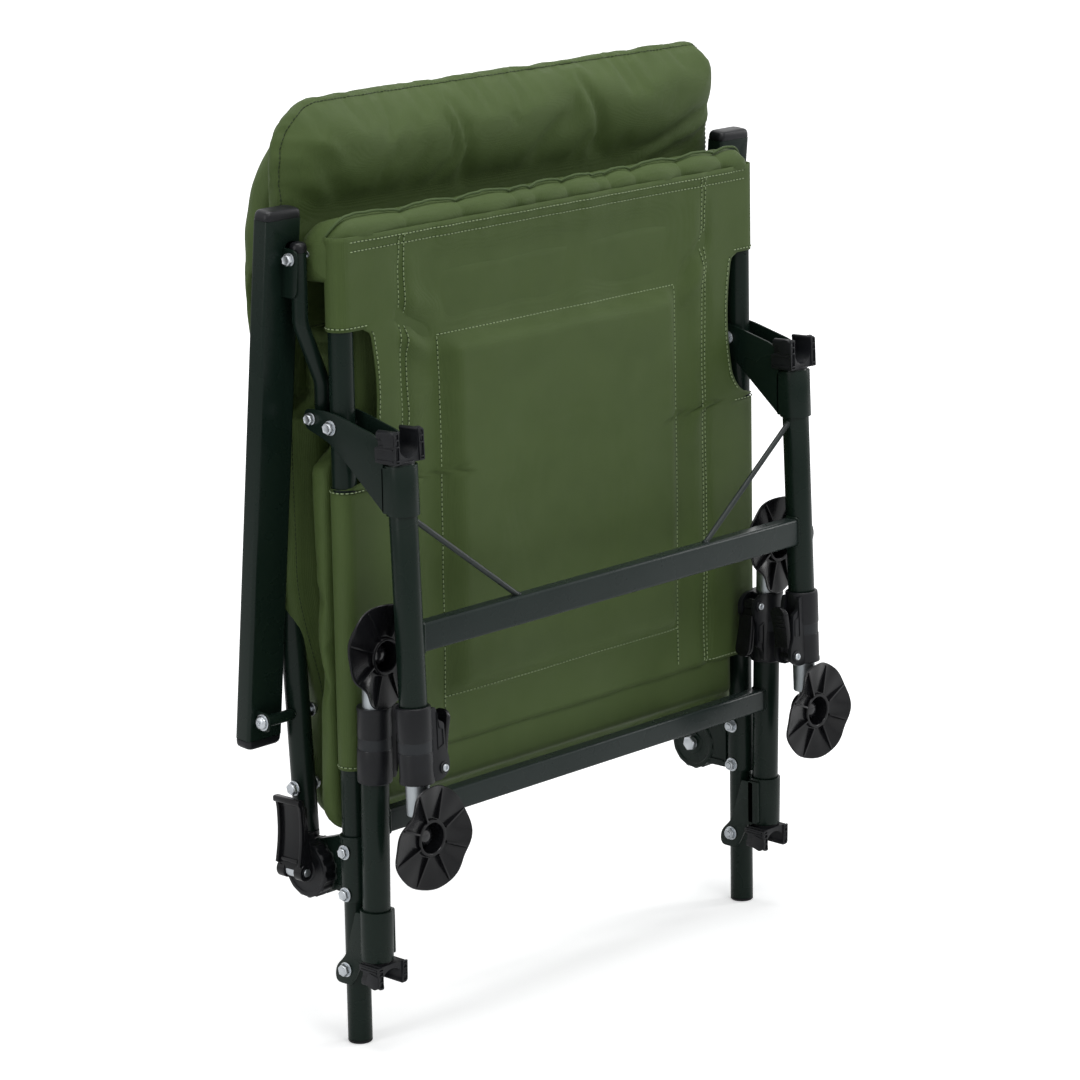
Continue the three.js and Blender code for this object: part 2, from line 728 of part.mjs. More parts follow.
const frontLeg = legMatrix(HALF_WIDTH, FRONT_LEG_Y, FRONT_LEG_TOP, FRONT_LEAN, -1);
const rearLeg = legMatrix(HALF_WIDTH + REAR_OFFSET, REAR_LEG_Y, REAR_LEG_FOOT, REAR_LEAN, 1);

function innerLeg(length) {
  const ball = length + BALL_AFTER_TUBE;
  const end = ball - STEM_LENGTH;
  return join(
    tube(INNER_LEG_R, INNER_LEG_R - INNER_WALL, end - INNER_START).translate(0, 0, INNER_START),
    rod(INNER_LEG_R - INNER_WALL / 2, PLUG_DEPTH, Z_AXIS).translate(0, 0, end - PLUG_DEPTH / 2),
    rod(STEM_R, STEM_LENGTH, Z_AXIS, SMALL_SIDES).translate(0, 0, end + STEM_LENGTH / 2 - OVERRUN),
    new THREE.SphereGeometry(BALL_R, BALL_SIDES, BALL_SIDES / 2).translate(0, 0, ball),
  );
}

function clampHousing(length) {
  const gripBore = LEG_R + GAP;
  const noseBore = INNER_LEG_R + RUNNING;
  const grip = tube(gripBore + CLAMP_WALL, gripBore, CLAMP_GRIP + OVERRUN).translate(0, 0, length - CLAMP_GRIP);
  const nose = tube(noseBore + CLAMP_WALL + OVERRUN, noseBore, CLAMP_NOSE).translate(0, 0, length + GAP);
  const ear = (side) => box(EAR_REACH, EAR_THICK, EAR_LENGTH)
    .translate(-EAR_REACH / 2, side * (EAR_INSIDE + EAR_THICK / 2), length + LEVER_PIN_S);
  const ears = cut(join(ear(1), ear(-1)),
    rod(noseBore + OVERRUN, 2 * CLAMP_NOSE, Z_AXIS).translate(0, 0, length + LEVER_PIN_S));
  return cut(join(grip, nose, ears),
    rod(LEVER_PIN_R + GAP, 4 * EAR_REACH, Y_AXIS, SMALL_SIDES).translate(-LEVER_PIN_X, 0, length + LEVER_PIN_S));
}

function clampLever(length) {
  const neck = 2 * (EAR_INSIDE - RUNNING);
  const pinS = length + LEVER_PIN_S;
  const earEnd = Math.hypot(EAR_REACH - LEVER_PIN_X, EAR_LENGTH / 2) + RUNNING;
  const barrel = rod(LEVER_BARREL_R, neck, Y_AXIS).translate(-LEVER_PIN_X, 0, pinS);
  const face = (foot, top, width, flare) => {
    const arm = slab(roundedShape([
      [-LEVER_PIN_X + LEVER_THICK / 2, foot, OVERRUN],
      [-LEVER_PIN_X + LEVER_THICK / 2 - flare * FLARE_BACK_SHARE, top, OVERRUN],
      [-LEVER_PIN_X - LEVER_THICK / 2 - flare, top, OVERRUN],
      [-LEVER_PIN_X - LEVER_THICK / 2, foot, OVERRUN],
    ]), width);
    arm.applyMatrix4(new THREE.Matrix4().makeBasis(X_AXIS, Z_AXIS, new THREE.Vector3(0, -1, 0)));
    return arm.translate(0, width / 2, 0);
  };
  return join(
    barrel,
    face(pinS, pinS - LEVER_LENGTH / 2, neck, 0),
    face(pinS - earEnd, pinS - LEVER_LENGTH, LEVER_WIDTH, LEVER_FLARE),
    rod(LEVER_PIN_R, 2 * (EAR_INSIDE + EAR_THICK), Y_AXIS, SMALL_SIDES).translate(-LEVER_PIN_X, 0, pinS),
  );
}

// Foot about its ball: the sole looks along -y and the leg comes from -z
function footBody() {
  const rimFace = FOOT_FACE + FOOT_DISH;
  const web = FOOT_FACE - FOOT_HUB_HEIGHT;
  const tip = FOOT_FACE + FOOT_HUB_HEIGHT;
  const seatR = BALL_R - OVERRUN;
  const outline = [
    [seatR, -CUP_BACK],
    [CUP_R, -CUP_BACK],
    [CUP_R, web],
    [FOOT_HUB_R, FOOT_FACE],
    [FOOT_R, rimFace],
    [FOOT_R, rimFace + FOOT_SKIN],
    [FOOT_HUB_R, FOOT_FACE + FOOT_SKIN],
    [FOOT_HUB_R, tip],
    [FOOT_HUB_R - FOOT_HUB_WALL, tip],
    [CUP_R, web + FOOT_SKIN],
    [seatR, web + FOOT_SKIN],
    [seatR, -CUP_BACK],
  ].map(([radius, w]) => new THREE.Vector2(radius, w));
  const skin = bare(new THREE.LatheGeometry(outline, FOOT_SIDES));
  const position = skin.attributes.position;
  for (let i = 0; i < position.count; i++) {
    const [x, w, z] = [position.getX(i), position.getY(i), position.getZ(i)];
    const share = Math.max(Math.hypot(x, z) - FOOT_HUB_R, 0) / (FOOT_R - FOOT_HUB_R);
    const wave = FOOT_WAVE * share * Math.cos(2 * Math.atan2(x, z));
    position.setXYZ(i, x, w + wave, z);
  }
  return skin;
}

function foot() {
  const ribLength = FOOT_R - FOOT_HUB_R - FOOT_SKIN;
  const ribs = Array.from({ length: FOOT_RIBS }, (_, i) => box(FOOT_RIB, FOOT_HUB_HEIGHT, ribLength)
    .translate(0, FOOT_FACE + FOOT_HUB_HEIGHT / 2, FOOT_HUB_R - FOOT_HUB_WALL / 2 + ribLength / 2)
    .rotateY(FULL_TURN * (i + 1 / 2) / FOOT_RIBS));
  const ballSpace = new THREE.SphereGeometry(BALL_R + BALL_PLAY, BALL_SIDES, BALL_SIDES / 2);
  const slotWidth = 2 * (STEM_R + RUNNING);
  const slot = box(slotWidth, CUP_BACK + STEM_R + OVERRUN, 2 * CUP_R)
    .translate(0, (STEM_R - CUP_BACK - OVERRUN) / 2, -CUP_R);
  return cut(join(footBody(), ...ribs), ballSpace, slot).rotateZ(Math.PI);
}

// Leg brackets: two plates that straddle the seat tube, and a collar round the leg
function plates(corners, centreX) {
  const offset = PLATE_INSET + PLATE / 2;
  return [-offset, offset].map((shift) => sidePlate(corners, PLATE, centreX + shift));
}

function frontBracket() {
  const collar = place(tube(COLLAR_R, PLATE_INSET, FRONT_COLLAR).translate(0, 0, OVERRUN), frontLeg);
  const collarTop = FRONT_LEG_TOP - OVERRUN;
  const plateY = FRONT_LEG_Y + FRONT_PLATE_END;
  const outline = [
    [LINK_FOOT_Y + LUG_R, LINK_FOOT_Z + LUG_R, LUG_R],
    [LINK_FOOT_Y + LUG_R, LINK_FOOT_Z - LUG_R, LUG_R],
    [0, FRONT_PIVOT_Z - PIVOT_LOBE, PIVOT_LOBE],
    [plateY, collarTop - FRONT_COLLAR + PLATE, PLATE],
    [plateY, FRONT_PIVOT_Z - PLATE, PIVOT_LOBE],
    [0, FRONT_PIVOT_Z + PIVOT_LOBE, PIVOT_LOBE],
  ];
  const cheeks = [
    [plateY + OVERRUN, collarTop - FRONT_COLLAR + PLATE, PLATE],
    [FRONT_LEG_Y, collarTop - FRONT_COLLAR + PLATE, PLATE],
    [FRONT_LEG_Y, collarTop - PLATE, PLATE],
    [plateY + OVERRUN, collarTop - PLATE, PLATE],
  ];
  const bored = cut(
    join(collar, ...plates(outline, HALF_WIDTH), ...plates(cheeks, HALF_WIDTH)),
    boreX(BOLT_HOLE_R, HALF_WIDTH, 0, FRONT_PIVOT_Z, 4 * COLLAR_R),
  );
  return join(
    bored,
    boltStub(HALF_WIDTH - COLLAR_R, -1, LINK_FOOT_Y, LINK_FOOT_Z),
    boltStub(HALF_WIDTH + COLLAR_R, 1, LINK_FOOT_Y, LINK_FOOT_Z),
  );
}

function rearBracket() {
  const collar = place(tube(COLLAR_R, PLATE_INSET, REAR_COLLAR).translate(0, 0, OVERRUN), rearLeg);
  const outline = [
    [PIVOT_LOBE, REAR_PIVOT_Z, PIVOT_LOBE - OVERRUN],
    [0, REAR_PIVOT_Z + PIVOT_LOBE, PIVOT_LOBE / 2],
    [REAR_LEG_Y + PIVOT_LOBE, REAR_LEG_FOOT + REAR_COLLAR - PLATE, PLATE],
    [REAR_LEG_Y, REAR_LEG_FOOT + REAR_COLLAR - PLATE, PLATE],
    [REAR_LEG_Y, REAR_LEG_FOOT + PLATE, PLATE],
    [REAR_LEG_Y + PIVOT_LOBE / 2, REAR_LEG_FOOT, PLATE],
    [-PIVOT_LOBE / 2, REAR_PIVOT_Z - PIVOT_LOBE, PIVOT_LOBE / 2],
    [PIVOT_LOBE, REAR_PIVOT_Z - PIVOT_LOBE, PIVOT_LOBE - OVERRUN],
  ];
  const foot = REAR_LEG_FOOT + OVERRUN;
  const top = foot + REAR_COLLAR;
  const cheekY = REAR_LEG_Y - LEG_R / 2;
  const shim = sidePlate([
    [cheekY, foot + PLATE, PLATE],
    [cheekY + LEG_R, foot + PLATE, PLATE],
    [cheekY + LEG_R, top - PLATE, PLATE],
    [cheekY, top - PLATE, PLATE],
  ], PLATE + REAR_OFFSET, HALF_WIDTH - COLLAR_R + (PLATE + REAR_OFFSET) / 2);
  const legSpace = place(rod(PLATE_INSET, 2 * (top - foot), Z_AXIS).translate(0, 0, REAR_COLLAR / 2), rearLeg);
  return cut(
    join(collar, shim, ...plates(outline, HALF_WIDTH)),
    legSpace,
    boreX(BOLT_HOLE_R, HALF_WIDTH, 0, REAR_PIVOT_Z, 4 * COLLAR_R),
  );
}

// Snap clip in leg coordinates: it plugs the bracket end of the leg and opens away from it
function clip(height, shiftY, centreX) {
  const outer = CLIP_THROAT + CLIP_JAW;
  const base = box(2 * outer, CLIP_LENGTH, CLIP_BASE).translate(centreX, shiftY, -GAP - CLIP_BASE / 2);
  const jaw = (side) => box(CLIP_JAW, CLIP_LENGTH, height)
    .translate(centreX + side * (CLIP_THROAT + CLIP_JAW / 2), shiftY, -GAP - height / 2);
  const lip = (side) => box(CLIP_LIP * 2, CLIP_LENGTH, CLIP_LIP)
    .translate(centreX + side * CLIP_THROAT, shiftY, -GAP - height + CLIP_LIP / 2);
  const plugR = LEG_R - LEG_WALL - GAP;
  const plug = rod(plugR, CLIP_PLUG + CLIP_BASE / 2, Z_AXIS).translate(0, 0, (CLIP_PLUG - CLIP_BASE / 2) / 2 - GAP);
  return join(base, jaw(1), jaw(-1), lip(1), lip(-1), plug);
}

// Leg frames: two tubes with a flat hollow bar welded between them and a vent hole in the bar
function legFrame(leg, length, bar, braces) {
  const at = new THREE.Vector3(0, 0, bar.station).applyMatrix4(leg);
  const solidLeg = place(rod(LEG_R, length, Z_AXIS).translate(0, 0, length / 2), leg);
  const bore = place(rod(LEG_R - LEG_WALL, length + OVERRUN, Z_AXIS).translate(0, 0, length / 2), leg);
  const outer = box(2 * at.x, bar.depth, bar.height).translate(0, at.y, at.z);
  const hollow = box(2 * (at.x - LEG_R - LEG_WALL), bar.depth - 2 * LEG_WALL, bar.height - 2 * LEG_WALL)
    .translate(0, at.y, at.z);
  const vent = rod(VENT_R, bar.depth, Y_AXIS, SMALL_SIDES).translate(0, at.y + bar.depth / 2, at.z);
  return cut(join(solidLeg, mirror(solidLeg), outer, ...braces), bore, mirror(bore), hollow, vent);
}

function brace() {
  const bar = new THREE.Vector3(0, 0, FRONT_LEG_TOP - FRONT_BAR_Z).applyMatrix4(frontLeg);
  const top = new THREE.Vector3(0, 0, FRONT_LEG_TOP - BRACE_TOP_Z).applyMatrix4(frontLeg);
  const from = new THREE.Vector3(top.x - LEG_R + LEG_WALL, top.y, BRACE_TOP_Z);
  const to = new THREE.Vector3(HALF_WIDTH - BRACE_FOOT_INSET, bar.y, FRONT_BAR_Z + FRONT_BAR_HEIGHT / 2 - LEG_WALL);
  return bentTube([from, to], BRACE_R, 0);
}

// Back frame in back coordinates: z runs up the tube from its lower end
const backMatrix = new THREE.Matrix4().makeTranslation(0, BACK_START_Y, BACK_START_Z)
  .multiply(new THREE.Matrix4().makeRotationX(-BACK_LEAN));

function backStations() {
  return bentStations([
    new THREE.Vector3(-HALF_WIDTH, 0, 0),
    new THREE.Vector3(-HALF_WIDTH, 0, BACK_LENGTH),
    new THREE.Vector3(HALF_WIDTH, 0, BACK_LENGTH),
    new THREE.Vector3(HALF_WIDTH, 0, 0),
  ], BACK_BEND_R);
}

function backTubeY(z) {
  return BACK_START_Y + (z - BACK_START_Z) * Math.tan(BACK_LEAN);
}

const backBoltAt = new THREE.Vector3(0, 0, BACK_BOLT_S).applyMatrix4(backMatrix);

function backTube() {
  const whole = place(bentTube(backStations(), BACK_TUBE_R, BACK_TUBE_R - BACK_WALL), backMatrix);
  const across = 2 * (HALF_WIDTH + COLLAR_R);
  return cut(whole,
    boreX(BOLT_HOLE_R, 0, backBoltAt.y, backBoltAt.z, across),
    boreX(BOLT_HOLE_R, 0, ARM_PIVOT_Y, ARM_PIVOT_Z, across));
}

function backKnuckle() {
  const discX = HALF_WIDTH + KNUCKLE_THICK / 2 + GAP / 2;
  const plug = place(
    rod(BACK_TUBE_R - BACK_WALL - GAP, BACK_PLUG + BACK_BOLT_S, Z_AXIS)
      .translate(HALF_WIDTH, 0, (BACK_PLUG + BACK_BOLT_S) / 2 - OVERRUN), backMatrix);
  const shoulder = BACK_START_Z - GAP;
  const arm = sidePlate([
    [HINGE_Y - KNUCKLE_R / 2, HINGE_Z + KNUCKLE_R / 2, OVERRUN],
    [HINGE_Y + KNUCKLE_R / 2, HINGE_Z + KNUCKLE_R / 2, OVERRUN],
    [BACK_START_Y + BACK_TUBE_R, shoulder - BACK_TUBE_R / 2, OVERRUN],
    [BACK_START_Y + BACK_TUBE_R, shoulder, OVERRUN],
    [BACK_START_Y - BACK_TUBE_R, shoulder, OVERRUN],
    [BACK_START_Y - BACK_TUBE_R, shoulder - BACK_TUBE_R / 2, OVERRUN],
  ], KNUCKLE_THICK, discX);
  const squareFoot = place(box(4 * BACK_TUBE_R, 4 * BACK_TUBE_R, BACK_TUBE_R)
    .translate(HALF_WIDTH, 0, BACK_TUBE_R / 2 - GAP), backMatrix);
  const bored = cut(
    join(toothedDisc(discX), cut(arm, squareFoot), plug),
    boreX(ROD_R + RUNNING, discX, HINGE_Y, HINGE_Z, 4 * COLLAR_R),
  );
  const reach = BACK_TUBE_R + GAP;
  return join(bored, boltThrough(HALF_WIDTH - reach, HALF_WIDTH + reach, backBoltAt.y, backBoltAt.z));
}

function backCushion() {
  const middle = (BACK_PAD_FOOT + BACK_PAD_TOP) / 2;
  const half = (BACK_PAD_TOP - BACK_PAD_FOOT) / 2;
  const pillow = pad(PAD_SEGMENTS, (a, c, b) => {
    const rounding = b > 0 ? BACK_PAD_CORNER * (a ** 8) * b : 0;
    const z = middle + b * (half - PAD_PULL * (1 - a * a)) - rounding;
    const wide = smooth(z, BACK_PAD_NOTCH_FOOT, BACK_PAD_NOTCH_TOP);
    const width = BACK_PAD_WAIST + (BACK_PAD_HALF_WIDTH - BACK_PAD_WAIST) * wide;
    const front = BACK_PAD_FRONT;
    const back = backTubeY(z) + BACK_PAD_COVER;
    const crowned = front + (1 - crown(a, b)) * (back - front) / 2;
    return { x: a * width, y: crowned + (back - crowned) * (1 + c) / 2, z };
  });
  const spaceHeight = BACK_PAD_TOP - HEADREST_FOOT + COVER;
  const headrestSpace = box(2 * HEADREST_HALF_WIDTH, 2 * HEADREST_THICK, spaceHeight)
    .translate(0, BACK_PAD_FRONT - GAP, HEADREST_FOOT - GAP + spaceHeight / 2);
  const roomFoot = BACK_PAD_FOOT + COVER;
  const roomBack = (z) => backTubeY(z) + BACK_PAD_COVER - COVER / 2;
  const lowerRoom = fillingRoom(BACK_PAD_WAIST - COVER, roomFoot, HEADREST_FOOT - COVER,
    () => BACK_PAD_FRONT + COVER, roomBack);
  const cornerFoot = BACK_PAD_TOP - BACK_PAD_CORNER - COVER;
  const roomFront = () => BACK_PAD_FRONT + HEADREST_THICK + COVER / 2;
  const upperRoom = fillingRoom(BACK_PAD_WAIST - COVER, HEADREST_FOOT - COVER - OVERRUN, cornerFoot, roomFront, roomBack);
  const topRoom = fillingRoom(BACK_PAD_WAIST - CORNER_ROOM_INSET, cornerFoot - OVERRUN, BACK_PAD_TOP - 2 * COVER,
    roomFront, roomBack);
  return cut(
    pillow,
    headrestSpace,
    place(bentTube(backStations(), BACK_TUBE_R + SOFT_GAP, 0, SOFT_SIDES), backMatrix),
    lowerRoom,
    upperRoom,
    topRoom,
    slit(roomBack(roomFoot) - COVER / 2, BACK_PAD_FOOT - OVERRUN, roomFoot + OVERRUN),
  );
}

function headrest() {
  const middle = (HEADREST_FOOT + HEADREST_TOP) / 2;
  const half = (HEADREST_TOP - HEADREST_FOOT) / 2;
  const pillow = pad(PAD_SEGMENTS, (a, c, b) => {
    const rounding = b > 0 ? HEADREST_CORNER * (a ** 8) * b : 0;
    const z = middle + b * half - rounding;
    const width = HEADREST_HALF_WIDTH - (b > 0 ? HEADREST_PULL * b ** 6 : 0);
    const inset = (1 - crown(a, b)) * HEADREST_THICK;
    const front = BACK_PAD_FRONT + GAP + inset;
    const back = BACK_PAD_FRONT + HEADREST_THICK - 2 * GAP - inset;
    return { x: a * width, y: c < 0 ? front : back, z };
  });
  const roomFoot = HEADREST_FOOT + COVER;
  const room = fillingRoom(HEADREST_HALF_WIDTH - 2 * HEADREST_PULL - COVER, roomFoot, HEADREST_TOP - HEADREST_CORNER,
    () => BACK_PAD_FRONT + COVER, () => BACK_PAD_FRONT + HEADREST_THICK - COVER);
  return cut(pillow, room,
    slit(BACK_PAD_FRONT + HEADREST_THICK / 2, HEADREST_FOOT - OVERRUN, roomFoot + OVERRUN));
}

// Armrests: a flat tube with end caps and two lugs on its underside
const armAngle = Math.atan2(LINK_TOP_Y - ARM_PIVOT_Y, LINK_TOP_Z - ARM_PIVOT_Z);
const armMatrix = new THREE.Matrix4().makeTranslation(ARM_X, ARM_PIVOT_Y, ARM_PIVOT_Z)
  .multiply(new THREE.Matrix4().makeRotationX(-armAngle));
const armReach = Math.hypot(LINK_TOP_Y - ARM_PIVOT_Y, LINK_TOP_Z - ARM_PIVOT_Z);
const ARM_MIDDLE = ARM_SETBACK + ARM_DEPTH / 2;

function armShape(inset) {
  const [u, v] = [ARM_WIDTH / 2 - inset, ARM_DEPTH / 2 - inset];
  const corner = ARM_CORNER - inset / 2;
  return roundedShape([[-u, -v, corner], [u, -v, corner], [u, v, corner], [-u, v, corner]]);
}

function armrest() {
  const shape = armShape(0);
  shape.holes.push(armShape(ARM_WALL));
  const length = armReach + ARM_BELOW + ARM_ABOVE;
  const profile = slab(shape, length).translate(0, ARM_MIDDLE, -ARM_BELOW);
  const lugFoot = (s, x, tail) => sidePlate([
    [-LUG_R, s + LUG_R, LUG_R - OVERRUN],
    [-LUG_R, s - LUG_R - tail, LUG_R - OVERRUN],
    [ARM_SETBACK + ARM_WALL / 2, s - LUG_R - tail, OVERRUN],
    [ARM_SETBACK + ARM_WALL / 2, s + LUG_R, OVERRUN],
  ], LUG, x - ARM_X);
  const whole = join(profile, lugFoot(armReach, LUG_X, LUG_LENGTH - LUG_R), lugFoot(0, ARM_LUG_X, 0));
  return place(cut(whole,
    boreX(BOLT_HOLE_R, 0, 0, 0, 2 * ARM_WIDTH),
    boreX(BOLT_HOLE_R, 0, 0, armReach, 2 * ARM_WIDTH)), armMatrix);
}

function armCap(end, way) {
  const outer = slab(armShape(0), ARM_CAP).translate(0, ARM_MIDDLE, way > 0 ? 0 : -ARM_CAP);
  const plug = slab(armShape(ARM_WALL + GAP), ARM_CAP_PLUG + GAP + OVERRUN)
    .translate(0, ARM_MIDDLE, way > 0 ? -ARM_CAP_PLUG - GAP : -OVERRUN);
  const rounded = place(outer, new THREE.Matrix4());
  const position = rounded.attributes.position;
  const farZ = way * ARM_CAP;
  for (let i = 0; i < position.count; i++) {
    if (Math.abs(position.getZ(i) - farZ) < GAP) {
      position.setX(i, position.getX(i) * CAP_TAPER_SHARE);
      position.setY(i, ARM_MIDDLE + (position.getY(i) - ARM_MIDDLE) * CAP_TAPER_SHARE);
    }
  }
  return place(join(rounded, plug).translate(0, 0, end + way * GAP), armMatrix);
}

function armPivotBolt() {
  const outerX = ARM_LUG_X + LUG / 2 + GAP;
  const innerX = HALF_WIDTH - BACK_TUBE_R - GAP;
  const from = HALF_WIDTH + BACK_TUBE_R + GAP;
  const to = ARM_LUG_X - LUG / 2 - GAP;
  const spacer = rod(SPACER_R, to - from, X_AXIS).translate((from + to) / 2, ARM_PIVOT_Y, ARM_PIVOT_Z);
  return join(spacer, boltThrough(outerX, innerX, ARM_PIVOT_Y, ARM_PIVOT_Z));
}

function link() {
  const along = (z) => LINK_FOOT_Y + (z - LINK_FOOT_Z) * (LINK_TOP_Y - LINK_FOOT_Y) / (LINK_TOP_Z - LINK_FOOT_Z);
  const at = (x, z) => new THREE.Vector3(x, along(z), z);
  const stations = bentStations([
    at(LINK_X, LINK_TOP_Z + LINK_TOP_END),
    at(LINK_X, LINK_BEND_TOP),
    at(HALF_WIDTH, LINK_BEND_FOOT),
    at(HALF_WIDTH, LINK_FOOT_Z - LINK_END),
  ], LINK_BEND_R, LINK_STEPS);
  return cut(bentTube(stations, LINK_R, LINK_R - LINK_WALL, LINK_SIDES),
    boreX(BOLT_HOLE_R, LINK_X, LINK_TOP_Y, LINK_TOP_Z, 4 * LINK_R),
    boreX(BOLT_HOLE_R, HALF_WIDTH, LINK_FOOT_Y, LINK_FOOT_Z, 4 * LINK_R));
}

function linkBolt() {
  return boltThrough(LUG_X + LUG / 2 + GAP, LINK_X - LINK_R - GAP, LINK_TOP_Y, LINK_TOP_Z);
}

const CAP_TAPER_SHARE = 0.86;

// Assembly, body by body
const seat = body();
add(seat, 'seat_frame_tube', seatTube(), PAINT);
addPair(seat, 'stub_cap', stubCap(), PLASTIC);
addPair(seat, 'hinge_sleeve', hingeSleeve(), PAINT);
addPair(seat, 'recline_rod', reclineRod(), ZINC);
add(seat, 'seat_cushion', seatCushion(), CLOTH);
add(seat, 'seat_panel', seatPanel(), PANEL_CLOTH);

const frontLegs = body();
const frontBar = { station: FRONT_LEG_TOP - FRONT_BAR_Z, height: FRONT_BAR_HEIGHT, depth: FRONT_BAR_DEPTH };
const frontBraces = [brace(), mirror(brace())];
add(frontLegs, 'front_leg_frame', legFrame(frontLeg, FRONT_LEG_LENGTH, frontBar, frontBraces), PAINT);
addPair(frontLegs, 'front_bracket', frontBracket(), PAINT);
addPair(frontLegs, 'front_clip', place(clip(CLIP_HEIGHT, CLIP_SHIFT, 0), frontLeg), PLASTIC);
addPair(frontLegs, 'front_clamp', place(clampHousing(FRONT_LEG_LENGTH), frontLeg), PLASTIC);
addPair(frontLegs, 'front_pivot_bolt', pivotBolt(FRONT_PIVOT_Z), ZINC);

const rearLegs = body();
const rearBar = { station: REAR_BAR_Z - REAR_LEG_FOOT, height: REAR_BAR_HEIGHT, depth: REAR_BAR_DEPTH };
add(rearLegs, 'rear_leg_frame', legFrame(rearLeg, REAR_LEG_LENGTH, rearBar, []), PAINT);
addPair(rearLegs, 'rear_bracket', rearBracket(), PAINT);
addPair(rearLegs, 'rear_clip', place(clip(REAR_CLIP_HEIGHT, REAR_CLIP_SHIFT, -REAR_OFFSET), rearLeg), PLASTIC);
addPair(rearLegs, 'rear_clamp', place(clampHousing(REAR_LEG_LENGTH), rearLeg), PLASTIC);
addPair(rearLegs, 'rear_pivot_bolt', pivotBolt(REAR_PIVOT_Z), ZINC);

const legs = [
  ['front', frontLeg, FRONT_LEG_LENGTH],
  ['rear', rearLeg, REAR_LEG_LENGTH],
];
for (const [end, matrix, length] of legs) {
  const ball = new THREE.Vector3(0, 0, length + BALL_AFTER_TUBE);
  const upright = matrix.determinant() < 0 ? -1 : 1;
  const centre = ball.clone().applyMatrix4(matrix);
  const footMatrix = new THREE.Matrix4().makeTranslation(centre.x, centre.y, centre.z)
    .multiply(new THREE.Matrix4().makeScale(1, 1, upright));
  addPair(body(), `${end}_leg_inner`, place(innerLeg(length), matrix), BARE_TUBE);
  addPair(body(), `${end}_clamp_lever`, place(clampLever(length), matrix), PLASTIC);
  addPair(body(), `${end}_foot`, place(foot(), footMatrix), PLASTIC);
}

addPair(body(), 'recline_lever', reclineLever(), PLASTIC);

const back = body();
add(back, 'back_frame_tube', backTube(), PAINT);
addPair(back, 'back_knuckle', backKnuckle(), PLASTIC);
add(back, 'back_cushion', backCushion(), CLOTH);
add(back, 'headrest', headrest(), CLOTH);
addPair(back, 'arm_pivot_bolt', armPivotBolt(), ZINC);

const arms = body();
addPair(arms, 'armrest', armrest(), PAINT);
addPair(arms, 'arm_cap_upper', armCap(armReach + ARM_ABOVE, 1), PLASTIC);
addPair(arms, 'arm_cap_lower', armCap(-ARM_BELOW, -1), PLASTIC);
addPair(arms, 'link_bolt', linkBolt(), ZINC);
addPair(body(), 'link', link(), PAINT);

// The origin lies under the middle of the folded chair
const middle = new THREE.Box3().setFromObject(chair).getCenter(new THREE.Vector3());
chair.position.y = -middle.y;

export default chair;
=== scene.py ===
"""Folded fishing chair: the looks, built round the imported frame.

Shapes are drawn in millimetres in the chair's own frame, where the seat tubes lie at y = 0, and
piece() turns them into metres in the shared frame. Right pieces are at +x, left ones are their mirror.
"""
import math

import bmesh
import bpy
import numpy as np
from mathutils import Matrix, Vector


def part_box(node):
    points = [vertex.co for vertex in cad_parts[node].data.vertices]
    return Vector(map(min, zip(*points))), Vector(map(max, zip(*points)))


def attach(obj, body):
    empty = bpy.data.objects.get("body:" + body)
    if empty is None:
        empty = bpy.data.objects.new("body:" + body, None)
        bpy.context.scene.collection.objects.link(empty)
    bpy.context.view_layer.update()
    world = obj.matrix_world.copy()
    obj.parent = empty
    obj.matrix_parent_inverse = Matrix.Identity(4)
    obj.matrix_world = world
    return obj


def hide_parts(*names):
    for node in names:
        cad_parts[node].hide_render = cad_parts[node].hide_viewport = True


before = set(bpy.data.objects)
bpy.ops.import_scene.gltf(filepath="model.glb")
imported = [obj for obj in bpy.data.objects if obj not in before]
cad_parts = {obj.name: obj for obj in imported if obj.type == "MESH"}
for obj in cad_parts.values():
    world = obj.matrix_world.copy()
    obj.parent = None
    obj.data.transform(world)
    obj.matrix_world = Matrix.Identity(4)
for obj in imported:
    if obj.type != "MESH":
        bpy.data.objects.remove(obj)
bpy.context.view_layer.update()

_low, _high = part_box("seat_frame_tube")
SEAT_Y = (_low.y + _high.y) / 2
MM = 0.001

# Main sizes in millimetres
HALF = 264.0                        # from the middle of the chair to the middle of a seat or back tube
TUBE, SEAT_BORE, BACK_BORE = 11, 9.6, 10
LEG_TUBE, LEG_BORE = 12.5, 10.9
SEAT_FOOT, SEAT_TOP = 3.3, 715
BACK_Y, BACK_Z, BACK_LENGTH = 60.6, 186, 610
HINGE_Y, HINGE_Z = 51.0, 153.0
FRONT_LENGTH, REAR_LENGTH = 248.0, 199.0
BALL_AT = 82                        # from the end of the outer leg tube to the ball of the foot
BACK_LEAN = math.radians(3.4)


def new_object(name, data):
    made = bpy.data.objects.new(name, data)
    bpy.context.scene.collection.objects.link(made)
    return made


def new_mesh(name, points, faces):
    mesh = bpy.data.meshes.new(name)
    mesh.from_pydata(points, [], faces)
    return mesh


def add_node(tree, kind, feeds=(), values=(), **settings):
    """A shader node with its settings, the values of its inputs and the sockets that feed it."""
    made = tree.nodes.new(kind)
    for key, value in settings.items():
        setattr(made, key, value)
    for key, value in dict(values).items():
        made.inputs[key].default_value = value
    for key, socket in dict(feeds).items():
        tree.links.new(socket, made.inputs[key])
    return made


def map_range(tree, value, start, end, low, high):
    values = {"From Min": start, "From Max": end, "To Min": low, "To Max": high}
    return add_node(tree, "ShaderNodeMapRange", {"Value": value}, values).outputs[0]


